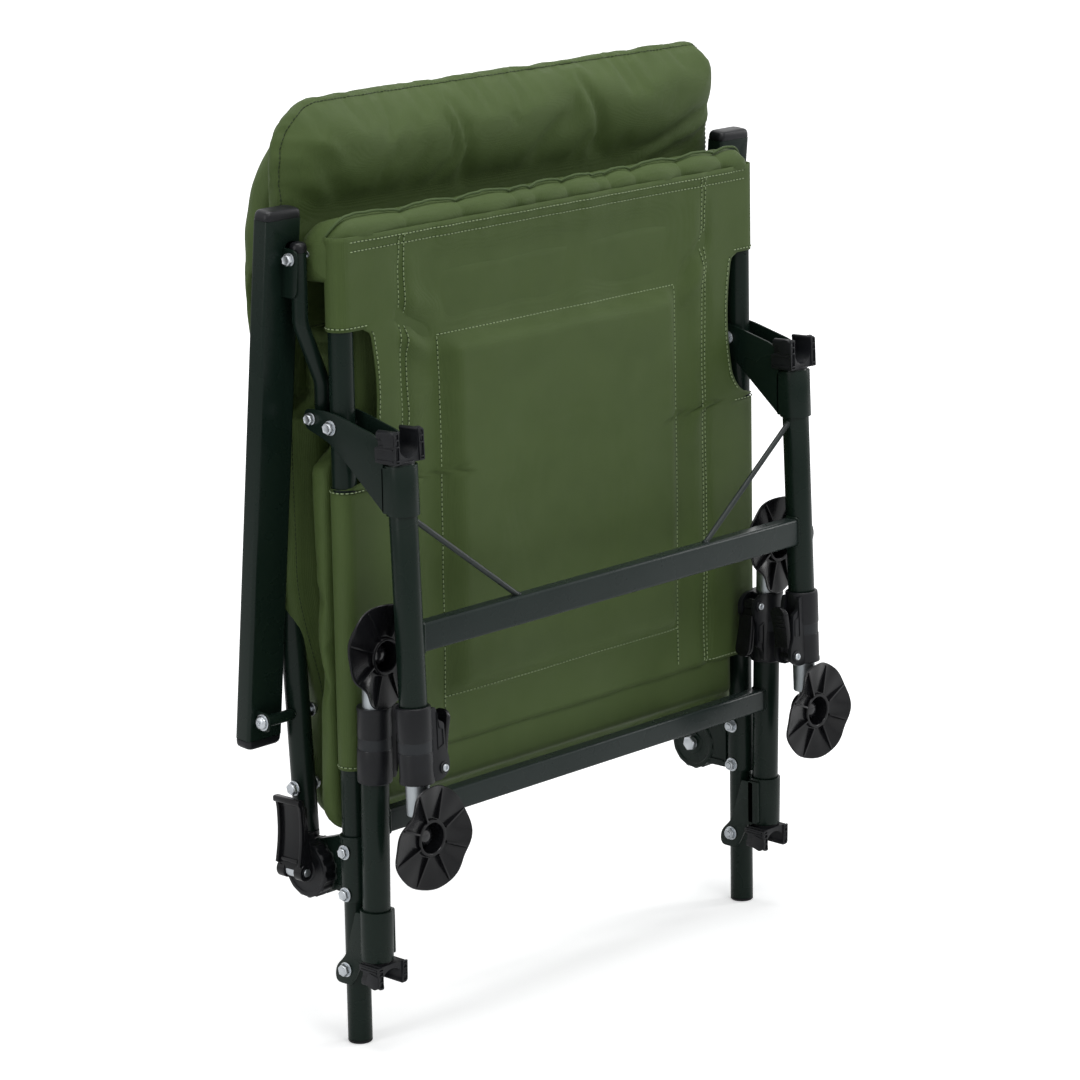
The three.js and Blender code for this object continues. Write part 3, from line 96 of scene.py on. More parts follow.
# ---------------------------------------------------------------- camera, floor and light
CAMERA_AZIMUTH, CAMERA_ELEVATION, CAMERA_ROLL = -47.00, 13.36, -1.04
CAMERA_DISTANCE, CAMERA_LENS = 3.936, 143.77
CAMERA_TARGET = Vector((-0.017, SEAT_Y, 0.414))
LIT_POINT = Vector((0, 0, 0.42))
LIGHTS = {  # place, size and power
    "key": ((-0.5, -2.5, 3.3), (1.4, 1.4), 38),
    "side": ((-2.9, 0.3, 1.5), (0.6, 1.8), 15),
    "right": ((2.9, -1.3, 1.5), (0.5, 2.0), 20),
    "top": ((0.0, 0.2, 3.2), (1.8, 1.8), 44),
}
FLOOR_REACH = 40


def make_camera():
    a, e, r = (math.radians(v) for v in (CAMERA_AZIMUTH, CAMERA_ELEVATION, CAMERA_ROLL))
    back = Vector((math.sin(a) * math.cos(e), -math.cos(a) * math.cos(e), math.sin(e)))
    right = (-back).cross(Vector((0, 0, 1))).normalized()
    up = right.cross(-back)
    across = math.cos(r) * right + math.sin(r) * up
    above = -math.sin(r) * right + math.cos(r) * up
    data = bpy.data.cameras.new("camera")
    data.lens, data.sensor_width, data.clip_end = CAMERA_LENS, 36, 200
    camera = new_object("camera", data)
    turn = Matrix((across, above, back)).transposed().to_4x4()
    camera.matrix_world = Matrix.Translation(CAMERA_TARGET + back * CAMERA_DISTANCE) @ turn
    bpy.context.scene.camera = camera


def make_lights():
    for name, (place, size, power) in LIGHTS.items():
        data = bpy.data.lights.new(name, "AREA")
        data.shape, data.size, data.size_y, data.energy = "RECTANGLE", size[0], size[1], power
        light = new_object(name, data)
        light.location = place
        light.rotation_mode = "QUATERNION"
        light.rotation_quaternion = (LIT_POINT - Vector(place)).to_track_quat("-Z", "Y")


def make_world():
    """A soft fill light that camera, glossy and transmission rays see as plain white."""
    world = bpy.data.worlds.new("studio")
    bpy.context.scene.world = world
    world.use_nodes = True
    tree = world.node_tree
    fill = tree.nodes["Background"]
    fill.inputs["Color"].default_value = (0.95, 0.98, 1, 1)
    fill.inputs["Strength"].default_value = 0.3
    rays = tree.nodes.new("ShaderNodeLightPath").outputs
    seen = rays["Is Camera Ray"]
    for ray in ("Is Glossy Ray", "Is Transmission Ray"):
        seen = add_node(tree, "ShaderNodeMath", {0: seen, 1: rays[ray]}, operation="MAXIMUM").outputs[0]
    white = add_node(tree, "ShaderNodeBackground", values={"Strength": 1, "Color": (1, 1, 1, 1)})
    mix = add_node(tree, "ShaderNodeMixShader", {0: seen, 1: fill.outputs[0], 2: white.outputs[0]})
    tree.links.new(mix.outputs[0], tree.nodes["World Output"].inputs["Surface"])


def make_floor():
    """A pale floor that fades to white away from the chair, for the camera."""
    r = FLOOR_REACH
    mesh = new_mesh("floor", [(-r, -r, 0), (r, -r, 0), (r, r, 0), (-r, r, 0)], [(0, 1, 2, 3)])
    look = bpy.data.materials.new("floor")
    look.use_nodes = True
    tree = look.node_tree
    shader = tree.nodes["Principled BSDF"].inputs
    for key, value in (("Base Color", (0.97, 0.97, 0.97, 1)), ("Roughness", 0.9), ("Emission Color", (1, 1, 1, 1))):
        shader[key].default_value = value
    place = tree.nodes.new("ShaderNodeTexCoord").outputs["Object"]
    far = add_node(tree, "ShaderNodeVectorMath", {0: place}, operation="LENGTH").outputs["Value"]
    feeds = {0: map_range(tree, far, 0.3, 3.0, 0.42, 1.0),
             1: tree.nodes.new("ShaderNodeLightPath").outputs["Is Camera Ray"]}
    glow = add_node(tree, "ShaderNodeMath", feeds, operation="MULTIPLY")
    tree.links.new(glow.outputs[0], shader["Emission Strength"])
    mesh.materials.append(look)
    new_object("floor", mesh)


# ---------------------------------------------------------------- materials
class Look:
    """A Principled material with procedural detail added step by step."""

    def __init__(self, name, colour, roughness, metallic=0.0, specular=0.5, sheen=0.0):
        self.material = bpy.data.materials.new(name)
        self.material.use_nodes = True
        self.tree = self.material.node_tree
        self.shader = self.tree.nodes["Principled BSDF"].inputs
        for key, value in (("Base Color", (*colour, 1)), ("Roughness", roughness), ("Metallic", metallic),
                           ("Specular IOR Level", specular), ("Sheen Weight", sheen), ("Sheen Roughness", 0.4)):
            self.shader[key].default_value = value
        self.place = self.tree.nodes.new("ShaderNodeTexCoord").outputs["Object"]
        self.height = None

    def noise(self, scale, detail, stretch=(1, 1, 1), distortion=0.0):
        place = add_node(self.tree, "ShaderNodeMapping", {"Vector": self.place}, {"Scale": stretch}).outputs[0]
        values = {"Scale": scale, "Detail": detail, "Distortion": distortion}
        return add_node(self.tree, "ShaderNodeTexNoise", {"Vector": place}, values).outputs["Fac"]

    def tint(self, value, high, other, start=0.35, end=0.65):
        """Mixes the colour so far with another one: none of it at start, and high at the end."""
        before = self.shader["Base Color"]
        feeds = {"Factor": map_range(self.tree, value, start, end, 0, high)}
        if before.is_linked:
            feeds[6] = before.links[0].from_socket
        values = {6: before.default_value, 7: (*other, 1)}
        mix = add_node(self.tree, "ShaderNodeMix", feeds, values, data_type="RGBA")
        self.tree.links.new(mix.outputs[2], before)

    def rough(self, value, low, high):
        self.tree.links.new(map_range(self.tree, value, 0.2, 0.8, low, high), self.shader["Roughness"])

    def bump(self, value, distance):
        feeds = {"Height": value}
        if self.height is not None:
            feeds["Normal"] = self.height
        values = {"Distance": distance * MM, "Strength": 1.0}
        self.height = add_node(self.tree, "ShaderNodeBump", feeds, values).outputs[0]
        self.tree.links.new(self.height, self.shader["Normal"])

    def weave(self, period):
        """Threads that cross on every face, whichever way it looks."""
        total = None
        values = {"Scale": math.pi / 10 / (period * MM), "Distortion": 0.6, "Detail Scale": 0.4}
        for direction in "XYZ":
            threads = add_node(self.tree, "ShaderNodeTexWave", {"Vector": self.place}, values,
                               bands_direction=direction).outputs["Fac"]
            if total is None:
                total = threads
            else:
                total = add_node(self.tree, "ShaderNodeMath", {0: total, 1: threads}, operation="ADD").outputs[0]
        return total


def fabric_look(name, colour, shade, light, crease):
    look = Look(name, colour, 0.5, specular=0.22, sheen=0.03)
    look.tint(look.noise(5, 4), 0.55, shade)
    look.tint(look.noise(38, 5), 0.22, light)
    threads = look.weave(0.8)
    look.tint(threads, 0.1, light, 0.6, 2.2)
    look.rough(look.noise(16, 4), 0.5, 0.68)
    look.bump(look.noise(9, 2, distortion=0.8), crease)
    look.bump(look.noise(900, 2), 0.06)
    look.bump(threads, 0.08)
    return look.material


def paint_look(name, colour, worn):
    look = Look(name, colour, 0.3, specular=0.18)
    look.tint(look.noise(14, 3), 0.5, worn)
    look.rough(look.noise(30, 5), 0.22, 0.34)
    look.bump(look.noise(420, 3), 0.02)
    return look.material


def plastic_look(name, colour, light, low, high, specular=0.25):
    look = Look(name, colour, low, specular=specular)
    look.tint(look.noise(30, 4), 0.5, light)
    look.rough(look.noise(55, 4), low, high)
    look.bump(look.noise(1300, 2), 0.05)
    return look.material


def metal_look(name, colour, dull, low, high, stretch):
    look = Look(name, colour, low, metallic=0.95)
    look.tint(look.noise(60, 4), 0.5, dull)
    look.rough(look.noise(160, 4, stretch), low, high)
    look.bump(look.noise(700, 3, stretch), 0.03)
    return look.material


# Each style is a material and the name of a slot
SHINY = (0.009, 0.0095, 0.011)
CLOTH = fabric_look("olive_padded_cloth", (0.062, 0.097, 0.025), (0.048, 0.076, 0.019), (0.080, 0.120, 0.034),
                    1.6), "padded_fabric"
PANEL = fabric_look("olive_panel_cloth", (0.062, 0.097, 0.025), (0.050, 0.079, 0.019), (0.079, 0.118, 0.034),
                    1.0), "panel_fabric"
PALE_THREAD = fabric_look("pale_thread", (0.33, 0.42, 0.22), (0.25, 0.33, 0.16), (0.42, 0.5, 0.3), 0.1)
# Dark thread for the cushion seams; the same material is also painted shade in the needle holes between the panel's
# stitches.
DARK_THREAD_AND_HOLE_SHADE = fabric_look("dark_thread_and_painted_hole_shade", (0.018, 0.028, 0.012), (0.012, 0.02, 0.008), (0.03, 0.045, 0.02), 0.1)
PIPING = fabric_look("piping_cloth", (0.064, 0.1, 0.032), (0.048, 0.077, 0.024), (0.09, 0.135, 0.052),
                     0.4), "padded_fabric"
PAINT = paint_look("dark_green_paint", (0.0065, 0.0145, 0.0105), (0.0078, 0.0165, 0.0122))
FRAME, DISC, ARMREST = (PAINT, "frame_paint"), (PAINT, "black_plastic"), (PAINT, "armrest_paint")
BAR = paint_look("bar_paint", (0.016, 0.024, 0.022), (0.024, 0.033, 0.031)), "frame_paint"
BAND = plastic_look("clamp_band_plastic", (0.017, 0.019, 0.022), (0.026, 0.029, 0.032), 0.4, 0.55), "black_plastic"
PLASTIC = plastic_look("black_plastic", (0.0065, 0.007, 0.0085), (0.014, 0.015, 0.018), 0.3, 0.46), "black_plastic"
GLOSS = plastic_look("gloss_plastic", (0.005, 0.005, 0.006), SHINY, 0.16, 0.28), "black_plastic"
BALL = plastic_look("ball_plastic", (0.016, 0.016, 0.018), SHINY, 0.1, 0.16, 0.6), "black_plastic"
# The brace's colours are lighter than the frame's paint: painted highlight, standing in for the gloss of the thin
# painted rod.
BRACE = paint_look("brace_paint_with_painted_highlight", (0.03, 0.037, 0.036), (0.045, 0.052, 0.05)), "frame_paint"
ZINC = metal_look("zinc_plate", (0.62, 0.65, 0.68), (0.38, 0.41, 0.44), 0.24, 0.42, (1, 1, 1)), "zinc_steel"
BARE = metal_look("galvanised_tube", (0.42, 0.45, 0.47), (0.3, 0.33, 0.35), 0.3, 0.45, (1, 1, 0.1)), "leg_tube_steel"


# ---------------------------------------------------------------- shapes
class Shape:
    """Points in millimetres and faces."""

    def __init__(self, points=(), faces=()):
        self.points = np.array(points, float).reshape(-1, 3)
        self.faces = [tuple(int(i) for i in face) for face in faces]

    def __add__(self, other):
        shift = len(self.points)
        return Shape(np.vstack([self.points, other.points]),
                     self.faces + [tuple(i + shift for i in face) for face in other.faces])

    def moved(self, matrix):
        m = np.array(matrix, float)
        flip = np.linalg.det(m[:3, :3]) < 0
        return Shape(self.points @ m[:3, :3].T + m[:3, 3], [f[::-1] if flip else f for f in self.faces])

    def shifted(self, x, y, z):
        return Shape(self.points + (x, y, z), self.faces)


MIRROR = np.diag([-1.0, 1, 1, 1])
X, Y, Z = np.eye(3)


def basis(u, v, w, origin=(0, 0, 0)):
    m = np.eye(4)
    m[:3, 0], m[:3, 1], m[:3, 2], m[:3, 3] = u, v, w, origin
    return m


SIDE_VIEW = basis(Y, Z, X)


def facing(side, origin=(0, 0, 0)):
    """Drawn in x and z, and out along -y (side 1) or y (side -1)."""
    return basis(X, Z, -Y * side, origin)


def leaning(x, y, z, lean, up=1):
    """w runs up or down from the place, leaning towards -y."""
    c, s = math.cos(lean), math.sin(lean)
    return basis(X, (0, c, up * s), (0, -s, up * c), (x, y, z))


def point_on(matrix, w):
    return (matrix @ np.array((0, 0, w, 1)))[:3]


def both(make):
    """One shape from the two that make draws for the sides -1 and 1."""
    return make(-1) + make(1)


def turns(count):
    return np.arange(count) * 2 * math.pi / count


def circle(radius, sides):
    return np.stack([np.cos(turns(sides)), np.sin(turns(sides))], 1) * radius


def rounded(corners, steps=6):
    """An outline whose corners (u, v, radius) are rounded."""
    out = []
    for i, (u, v, radius) in enumerate(corners):
        here = np.array((u, v), float)
        ways = [np.array(corners[k][:2], float) - here for k in (i - 1, (i + 1) % len(corners))]
        reach = min([radius] + [0.48 * np.linalg.norm(w) for w in ways])
        start, end = (here + w / np.linalg.norm(w) * reach for w in ways)
        for t in np.linspace(0, 1, steps + 1):
            out.append((1 - t) ** 2 * start + 2 * t * (1 - t) * here + t * t * end)
    return np.array(out)


def block(u0, v0, u1, v1, radius, steps=6, far=None):
    """A rectangle between two corners. far is the radius at v1, where that one differs."""
    far = radius if far is None else far
    return rounded([(u0, v0, radius), (u1, v0, radius), (u1, v1, far), (u0, v1, far)], steps)


def band(a, b, n):
    """The faces between two rings of n points that start at a and at b."""
    return [(a + j, a + (j + 1) % n, b + (j + 1) % n, b + j) for j in range(n)]


def lids(first, last, n):
    return [tuple(range(first, first + n))[::-1], tuple(range(last, last + n))]


def sweep(path, ring, hole=None, up=None, scales=None):
    """A closed ring drawn along a path, hollow where a hole ring is given."""
    path = np.array(path, float)
    steps = np.diff(path, axis=0)
    steps /= np.linalg.norm(steps, axis=1)[:, None]
    tangents = np.vstack([steps[:1], steps[:-1] + steps[1:], steps[-1:]])
    tangents /= np.linalg.norm(tangents, axis=1)[:, None]
    if up is None:
        up = (0, 1, 0) if abs(tangents[0][1]) < 0.9 else (1, 0, 0)
    normal = np.array(up, float)
    scales = np.ones(len(path)) if scales is None else np.array(scales, float)
    rings = []
    for place, tangent, scale in zip(path, tangents, scales):
        normal = normal - (normal @ tangent) * tangent
        normal /= np.linalg.norm(normal)
        across = np.cross(tangent, normal)
        for shape in ([ring] if hole is None else [ring, hole]):
            rings.append(place + scale * (shape[:, :1] * normal + shape[:, 1:] * across))
    n, walls = len(ring), 1 if hole is None else 2
    faces = []
    for i in range(len(path) - 1):
        for wall in range(walls):
            start = (i * walls + wall) * n
            faces += [face[::-1] if wall else face for face in band(start, start + walls * n, n)]
    last = (len(path) - 1) * walls * n
    if hole is None:
        faces += lids(0, last, n)
    else:
        for j in range(n):
            k = (j + 1) % n
            faces.append((j, n + j, n + k, k))
            faces.append((last + j, last + k, last + n + k, last + n + j))
    return Shape(np.vstack(rings), faces)


def tube(path, outer, inner, sides=40):
    return sweep(path, circle(outer, sides), circle(inner, sides))


def rod(x, y, z, reach, ring, up=None):
    """A ring drawn along y, to the same reach on both sides of a place."""
    return sweep([(x, y - reach, z), (x, y + reach, z)], ring, up=up)


def stack(ring, levels):
    """Scaled copies of a ring, (height, scale) each, joined in order along z."""
    n = len(ring)
    points = [(u * scale, v * scale, h) for h, scale in levels for u, v in ring]
    faces = [face for i in range(len(levels) - 1) for face in band(i * n, (i + 1) * n, n)]
    return Shape(points, faces + lids(0, (len(levels) - 1) * n, n))


def lathe(profile, sides, closed=False):
    """A profile of (radius, height) turned about z."""
    points = [(r * math.cos(a), r * math.sin(a), h) for r, h in profile for a in turns(sides)]
    rows = len(profile)
    faces = []
    for i in range(rows if closed else rows - 1):
        faces += band(i * sides, (i + 1) % rows * sides, sides)
    return Shape(points, faces)


def prism(outline, low, high, matrix=np.eye(4)):
    """An outline in (u, v) drawn out along w from low to high."""
    n = len(outline)
    return Shape([(u, v, w) for w in (low, high) for u, v in outline], lids(0, n, n) + band(0, n, n)).moved(matrix)


def side_plate(outline, low_x, high_x):
    return prism(outline, low_x, high_x, SIDE_VIEW)


def bent(corners, radius, steps):
    """A path along straight runs with round bends at the inner corners."""
    corners = [np.array(c, float) for c in corners]
    path = [corners[0]]
    for before, here, after in zip(corners, corners[1:], corners[2:]):
        back, ahead = before - here, after - here
        back, ahead = back / np.linalg.norm(back), ahead / np.linalg.norm(ahead)
        half = math.acos(np.clip(back @ ahead, -1, 1)) / 2
        middle = back + ahead
        centre = here + middle / np.linalg.norm(middle) * radius / math.sin(half)
        start = here + back * radius / math.tan(half) - centre
        end = here + ahead * radius / math.tan(half) - centre
        turn = math.pi - 2 * half
        for i in range(steps + 1):
            t = i / steps
            spoke = (math.sin((1 - t) * turn) * start + math.sin(t * turn) * end) / math.sin(turn)
            path.append(centre + spoke)
    path.append(corners[-1])
    return path


def ball(radius, centre, rows=8, sides=14):
    angles = np.linspace(-math.pi / 2, math.pi / 2, rows + 1)
    return lathe([(radius * math.cos(a), radius * math.sin(a)) for a in angles], sides).shifted(*centre)


def cut(shape, tool):
    """The shape without the tool, by Blender's exact boolean on two temporary objects."""
    objects = []
    for name, part in (("cut_body", shape), ("cut_tool", tool)):
        mesh = new_mesh(name, part.points.tolist(), part.faces)
        objects.append(new_object(name, mesh))
        work = bmesh.new()
        work.from_mesh(mesh)
        bmesh.ops.recalc_face_normals(work, faces=work.faces)
        work.to_mesh(mesh)
        work.free()
    change = objects[0].modifiers.new("cut", "BOOLEAN")
    change.operation, change.solver, change.object = "DIFFERENCE", "EXACT", objects[1]
    made = objects[0].evaluated_get(bpy.context.evaluated_depsgraph_get()).data
    result = Shape([v.co[:] for v in made.vertices], [tuple(p.vertices) for p in made.polygons])
    for item in objects:
        mesh = item.data
        bpy.data.objects.remove(item)
        bpy.data.meshes.remove(mesh)
    return result


# ---------------------------------------------------------------- pieces
def piece(name, shape, style, body, replaces=(), bevel=0.0, smooth_angle=38):
    """A named object from a shape, welded, softened at its edges and riding on a body."""
    look, slot = style
    points = shape.points * MM
    points[:, 1] += SEAT_Y
    mesh = new_mesh(name, points.tolist(), shape.faces)
    mesh.validate()
    edit = bmesh.new()
    edit.from_mesh(mesh)
    bmesh.ops.remove_doubles(edit, verts=edit.verts, dist=0.01 * MM)
    bmesh.ops.dissolve_degenerate(edit, dist=0.001 * MM, edges=edit.edges)
    bmesh.ops.recalc_face_normals(edit, faces=edit.faces)
    if bevel:
        sharp = [e for e in edit.edges if len(e.link_faces) == 2 and e.calc_face_angle(0) > math.radians(30)]
        bmesh.ops.bevel(edit, geom=sharp, offset=bevel * MM, segments=2, profile=0.6, affect="EDGES",
                        clamp_overlap=True)
    edit.to_mesh(mesh)
    edit.free()
    mesh.materials.append(look)
    mesh.shade_smooth()
    mesh.set_sharp_from_angle(angle=math.radians(smooth_angle))
    made = new_object(name, mesh)
    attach(made, body)
    if replaces:
        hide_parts(*replaces)
    return made


def pair(name, shape, style, body, replaces=None, **rest):
    """The right piece and its mirror image. {} in a name stands for the side."""
    for side, part in (("right", shape), ("left", shape.moved(MIRROR))):
        nodes = [replaces.format(side)] if replaces else []
        piece(name.format(side), part, style, body.format(side), nodes, **rest)


# ---------------------------------------------------------------- bolts
HEX = np.array([(math.cos(math.pi / 3 * i + 0.26), math.sin(math.pi / 3 * i + 0.26)) for i in range(6)])
WASHER = 1.2


def outward(shape, x, way, y, z):
    """Turns a shape that was drawn up z to point along x, out of the place."""
    return shape.moved(basis(Y, Z * way, X * way, (x, y, z)))


def washer(rim):
    return lathe([(0, 0), (rim - 0.2, 0), (rim, 0.25), (rim, 0.95), (rim - 0.3, WASHER), (0, WASHER)], 36)


def hex_head(x, way, y, z, radius=5.8, height=4.5, rim=6.7):
    """A hexagon head with a chamfered, slightly dished top, on a washer."""
    levels = [(0, 1), (height * 0.78, 1), (height * 0.93, 0.93), (height, 0.8), (height - 0.35, 0.62),
              (height - 0.4, 0.05)]
    return outward(washer(rim) + stack(HEX * radius, [(WASHER + h, s) for h, s in levels]), x, way, y, z)


def lock_nut(x, way, y, z, radius=5.8):
    """A locking nut with the thread's end showing."""
    nut = stack(HEX * radius, [(WASHER, 1), (4.0, 1), (4.4, 0.9)])
    ring = lathe([(3.2, 4.4), (4.7, 4.4), (4.7, 5.2), (4.2, 5.6), (3.4, 5.6), (3.2, 5.2)], 28, closed=True)
    end = lathe([(0, 3.0), (3.0, 3.0), (3.0, 5.9), (2.6, 6.3), (0, 6.3)], 24)
    return outward(washer(6.7) + nut + ring + end, x, way, y, z)


def shank(from_x, to_x, y, z, radius=3.0):
    return outward(lathe([(0, from_x), (radius, from_x), (radius, to_x), (0, to_x)], 20), 0, 1, y, z)


def bolt(reach, y, z):
    """A bolt through a tube, its head outside and its nut inside, each at reach from the middle plane."""
    head, nut = HALF + reach, HALF - reach
    return hex_head(head, 1, y, z) + lock_nut(nut, -1, y, z) + shank(nut, head, y, z)


def pan_head(x, way, y, z):
    """A domed screw head with a cross recess, on a washer."""
    dome = [(0, WASHER), (6.2, WASHER), (6.3, 2.2), (5.7, 3.6), (4.5, 4.7), (3.1, 5.2), (2.2, 5.3), (1.9, 4.6),
            (0, 4.2)]
    blades = Shape()
    for angle in (0.5, 0.5 + math.pi / 2):
        u, v = 3.3 * math.cos(angle), 3.3 * math.sin(angle)
        blades = blades + sweep([(-u, -v, 4.75), (0, 0, 5.0), (u, v, 4.75)], circle(0.42, 8))
    return outward(washer(7.5) + lathe(dome, 32) + blades, x, way, y, z)


make_camera()
make_world()
make_lights()
make_floor()

# ---------------------------------------------------------------- seat frame
def hoop(foot, top, radius, steps):
    return bent([(-HALF, 0, foot), (-HALF, 0, top), (HALF, 0, top), (HALF, 0, foot)], radius, steps)


seat_hoop = tube(hoop(SEAT_FOOT, SEAT_TOP, 45, 18), TUBE, SEAT_BORE)
piece("seat_tube", seat_hoop, FRAME, "seat", ["seat_frame_tube"], bevel=0.3)
stub = lathe([(0, 0), (8.6, 0), (10.2, 0.5), (TUBE, 1.4), (TUBE, 2.7), (10.7, 3), (9.3, 3.2), (9.3, 15), (0, 15)], 40)
pair("stub_plug_{}", stub.shifted(HALF, 0, 0), PLASTIC, "seat", "stub_cap_{}")

# Recline hinge, seat side
DISC_GAP, DISC_THICK = 0.15, 13.0
SLEEVE = 13.3


def toothed_disc(way):
    """A disc with a toothed rim, a sunk face and a raised hub, outward (way 1) or inward of the hinge plane."""
    steps = 240
    teeth = 25.6 + 0.8 * np.clip(1.6 * np.cos(15 * turns(steps)), -1, 1)
    levels = [(0, 0.05), (0, 24.6), (0.6, 25.4), (1.4, teeth), (DISC_THICK - 1.6, teeth), (DISC_THICK - 0.7, 25.2),
              (DISC_THICK, 24.2), (DISC_THICK, 21.5), (DISC_THICK - 1.2, 20.6), (DISC_THICK - 1.2, 11.5),
              (DISC_THICK - 0.1, 10.8), (DISC_THICK - 0.1, 0.05)]
    points, faces = [], []
    for i, (depth, radius) in enumerate(levels):
        ring = circle(1, steps) * np.broadcast_to(radius, steps)[:, None]
        points += [(u, v, depth) for u, v in ring]
        if i:
            faces += band((i - 1) * steps, i * steps, steps)
    return outward(Shape(points, faces), HALF + way * DISC_GAP, way, HINGE_Y, HINGE_Z)


sleeve = lathe([(11.3, 133), (13.0, 133), (SLEEVE, 133.6), (SLEEVE, 136), (SLEEVE, 190), (13.6, 190.5), (13.6, 192.4),
                (13.2, 193), (11.3, 193)], 40, closed=True).shifted(HALF, 0, 0)
web = side_plate(rounded([(9.5, 135, 2), (51, 135, 2), (51, 178, 3), (9.5, 191, 2)]), HALF - 11.5, HALF - 1.5)
ribs = sum((side_plate(block(12, z, 30, z + 1.6, 0.4), HALF - 13, HALF - 1) for z in (140, 182)), Shape())
sleeve_bolts = Shape()
for z in (140.2, 179.2):
    sleeve_bolts = sleeve_bolts + hex_head(HALF + SLEEVE, 1, 0, z, 5.2, 3.6) + lock_nut(HALF - SLEEVE, -1, 0, z, 5.2)
pair("hinge_plate_{}", toothed_disc(-1) + sleeve + web + ribs, DISC, "seat", "hinge_sleeve_{}", bevel=0.35)
pair("hinge_plate_bolts_{}", sleeve_bolts, ZINC, "seat")
PIN_X, PIN_Z = HALF + 26.0, HINGE_Z + 3.0
PIN = (PIN_X, HINGE_Y, PIN_Z)
rod_head = hex_head(HALF - 13.6, -1, HINGE_Y, HINGE_Z, 7.4, 4.6) + shank(HALF - 14, PIN_X, HINGE_Y, HINGE_Z, 3.5)
eye = lathe([(0, -5.5), (5.6, -5.5), (6, -5), (6, 5), (5.6, 5.5), (0, 5.5)], 32)
lever_pin = lathe([(0, -16.8), (3.4, -16.8), (3.6, -16.4), (3.6, -15.8), (2.2, -15.7), (2.2, 15.7), (3.6, 15.8),
                   (3.6, 16.4), (3.4, 16.8), (0, 16.8)], 28)
pair("recline_bolt_{}", rod_head + eye.moved(facing(1, PIN)) + lever_pin.moved(facing(1, PIN)), ZINC, "seat",
     "recline_rod_{}")

# Cam lever: a curved channel with side walls, a barrel below and a lip above
channel = []
for s in np.linspace(0, 1, 15):
    x = PIN_X + 5.2 - 2.6 * math.sin(math.pi * min(s * 1.1, 1)) - 4.5 * s + 1.5 * max(0, s - 0.86) * 7
    channel.append((x, HINGE_Y, PIN_Z + 2 + 64 * s))
taper = [0.94, 0.95, 0.96, 0.97, 0.98, 0.985, 0.99, 0.995, 1, 1, 1, 1, 1.01, 1.02, 1.02]


def lever_wall(side):
    outline = [(-6, -6.5, 5), (6.5, -6.5, 5), (6, 8, 2), (2.2, 30, 8), (1.4, 62, 3), (-3, 60, 3), (-4, 30, 10),
               (-7.5, 8, 4)]
    drum = lathe([(2.6, 6.2), (7.6, 6.2), (8, 6.7), (8, 14.9), (7.5, 15.4), (2.6, 15.4)], 40, closed=True)
    return (prism(rounded(outline), 12.2, 15) + drum).moved(facing(side, PIN))


def lever_rim(side):
    path = [(x + 2.4, HINGE_Y + side * 13.9, z) for x, _, z in channel[1:]]
    return sweep(path, block(-1.6, -2.2, 1.6, 2.2, 0.8, 3, far=1.4), up=(0, 1, 0))


cam = sweep(channel, block(-15.5, -1.4, 15.5, 1.4, 1, 3), up=(0, 1, 0), scales=taper)
end_x, _, end_z = channel[-1]
lip = rod(end_x + 2.6, HINGE_Y, end_z - 1, 16.2, block(-3.6, -3.0, 3.6, 3.0, 2, 4, far=2.6), (1, 0, 0))
stop = rod(PIN_X + 4.6, HINGE_Y, PIN_Z + 10, 10, circle(2.2, 16))
pair("recline_cam_{}", cam + both(lever_wall) + both(lever_rim) + lip + stop, GLOSS, "recline_lever_{}",
     "recline_lever_{}", bevel=0.45)

# ---------------------------------------------------------------- legs
# In leg coordinates w runs outward from the bracket end of the outer tube
FRONT_LEG = leaning(HALF, -69, 538, math.radians(2.1), -1)
REAR_LEG = leaning(HALF + 3, -27, 83, math.radians(1.2))
FRONT_BAR_AT, REAR_BAR_AT = 155, 127
BAR_DEPTH = 15


def cross_bar(leg, station, height):
    """A flat hollow bar between the legs, and the weld beads where it meets them."""
    x, y, z = point_on(leg, station)
    ring = block(-BAR_DEPTH / 2, -height / 2, BAR_DEPTH / 2, height / 2, 3.2)
    half = x - 9.5

    def bead(side):
        path = []
        for i, (u, v) in enumerate(np.vstack([ring, ring[:1]])):
            surface = x - math.sqrt(max(12.6 ** 2 - (u * 1.02) ** 2, 1))
            path.append((side * (surface - 0.3 + 0.35 * math.sin(i * 2.1)), y + u * 1.03, z + v * 1.03))
        return sweep(path, circle(1.25, 8))

    return sweep([(-half, y, z), (half, y, z)], ring, up=(0, 1, 0)), both(bead)


def leg_tubes(leg, length):
    path = [(0, 0, 0), (0, 0, 0.4), (0, 0, length - 0.4), (0, 0, length)]
    one = sweep(path, circle(LEG_TUBE, 44), circle(LEG_BORE, 44), scales=[0.985, 1, 1, 0.985]).moved(leg)
    return one + one.moved(MIRROR)


front_bar, front_beads = cross_bar(FRONT_LEG, FRONT_BAR_AT, 26)
rear_bar, rear_beads = cross_bar(REAR_LEG, REAR_BAR_AT, 21)
brace_top = point_on(FRONT_LEG, 51) - (11.5, 0, 0)
brace_foot = (127, point_on(FRONT_LEG, FRONT_BAR_AT)[1], 395.5)
piece("front_leg_tubes", leg_tubes(FRONT_LEG, FRONT_LENGTH), FRAME, "front_legs", ["front_leg_frame"])
piece("front_cross_bar", front_bar, BAR, "front_legs", bevel=0.2)
pair("front_brace_{}", sweep([brace_top, brace_foot], circle(2.6, 20)), BRACE, "front_legs")
pair("front_brace_welds_{}", ball(3.3, brace_top) + ball(3.4, brace_foot), BAR, "front_legs")
piece("front_bar_welds", front_beads, FRAME, "front_legs")
piece("rear_leg_tubes", leg_tubes(REAR_LEG, REAR_LENGTH), FRAME, "rear_legs", ["rear_leg_frame"])
piece("rear_cross_bar", rear_bar, BAR, "rear_legs", bevel=0.2)
piece("rear_bar_welds", rear_beads, FRAME, "rear_legs")


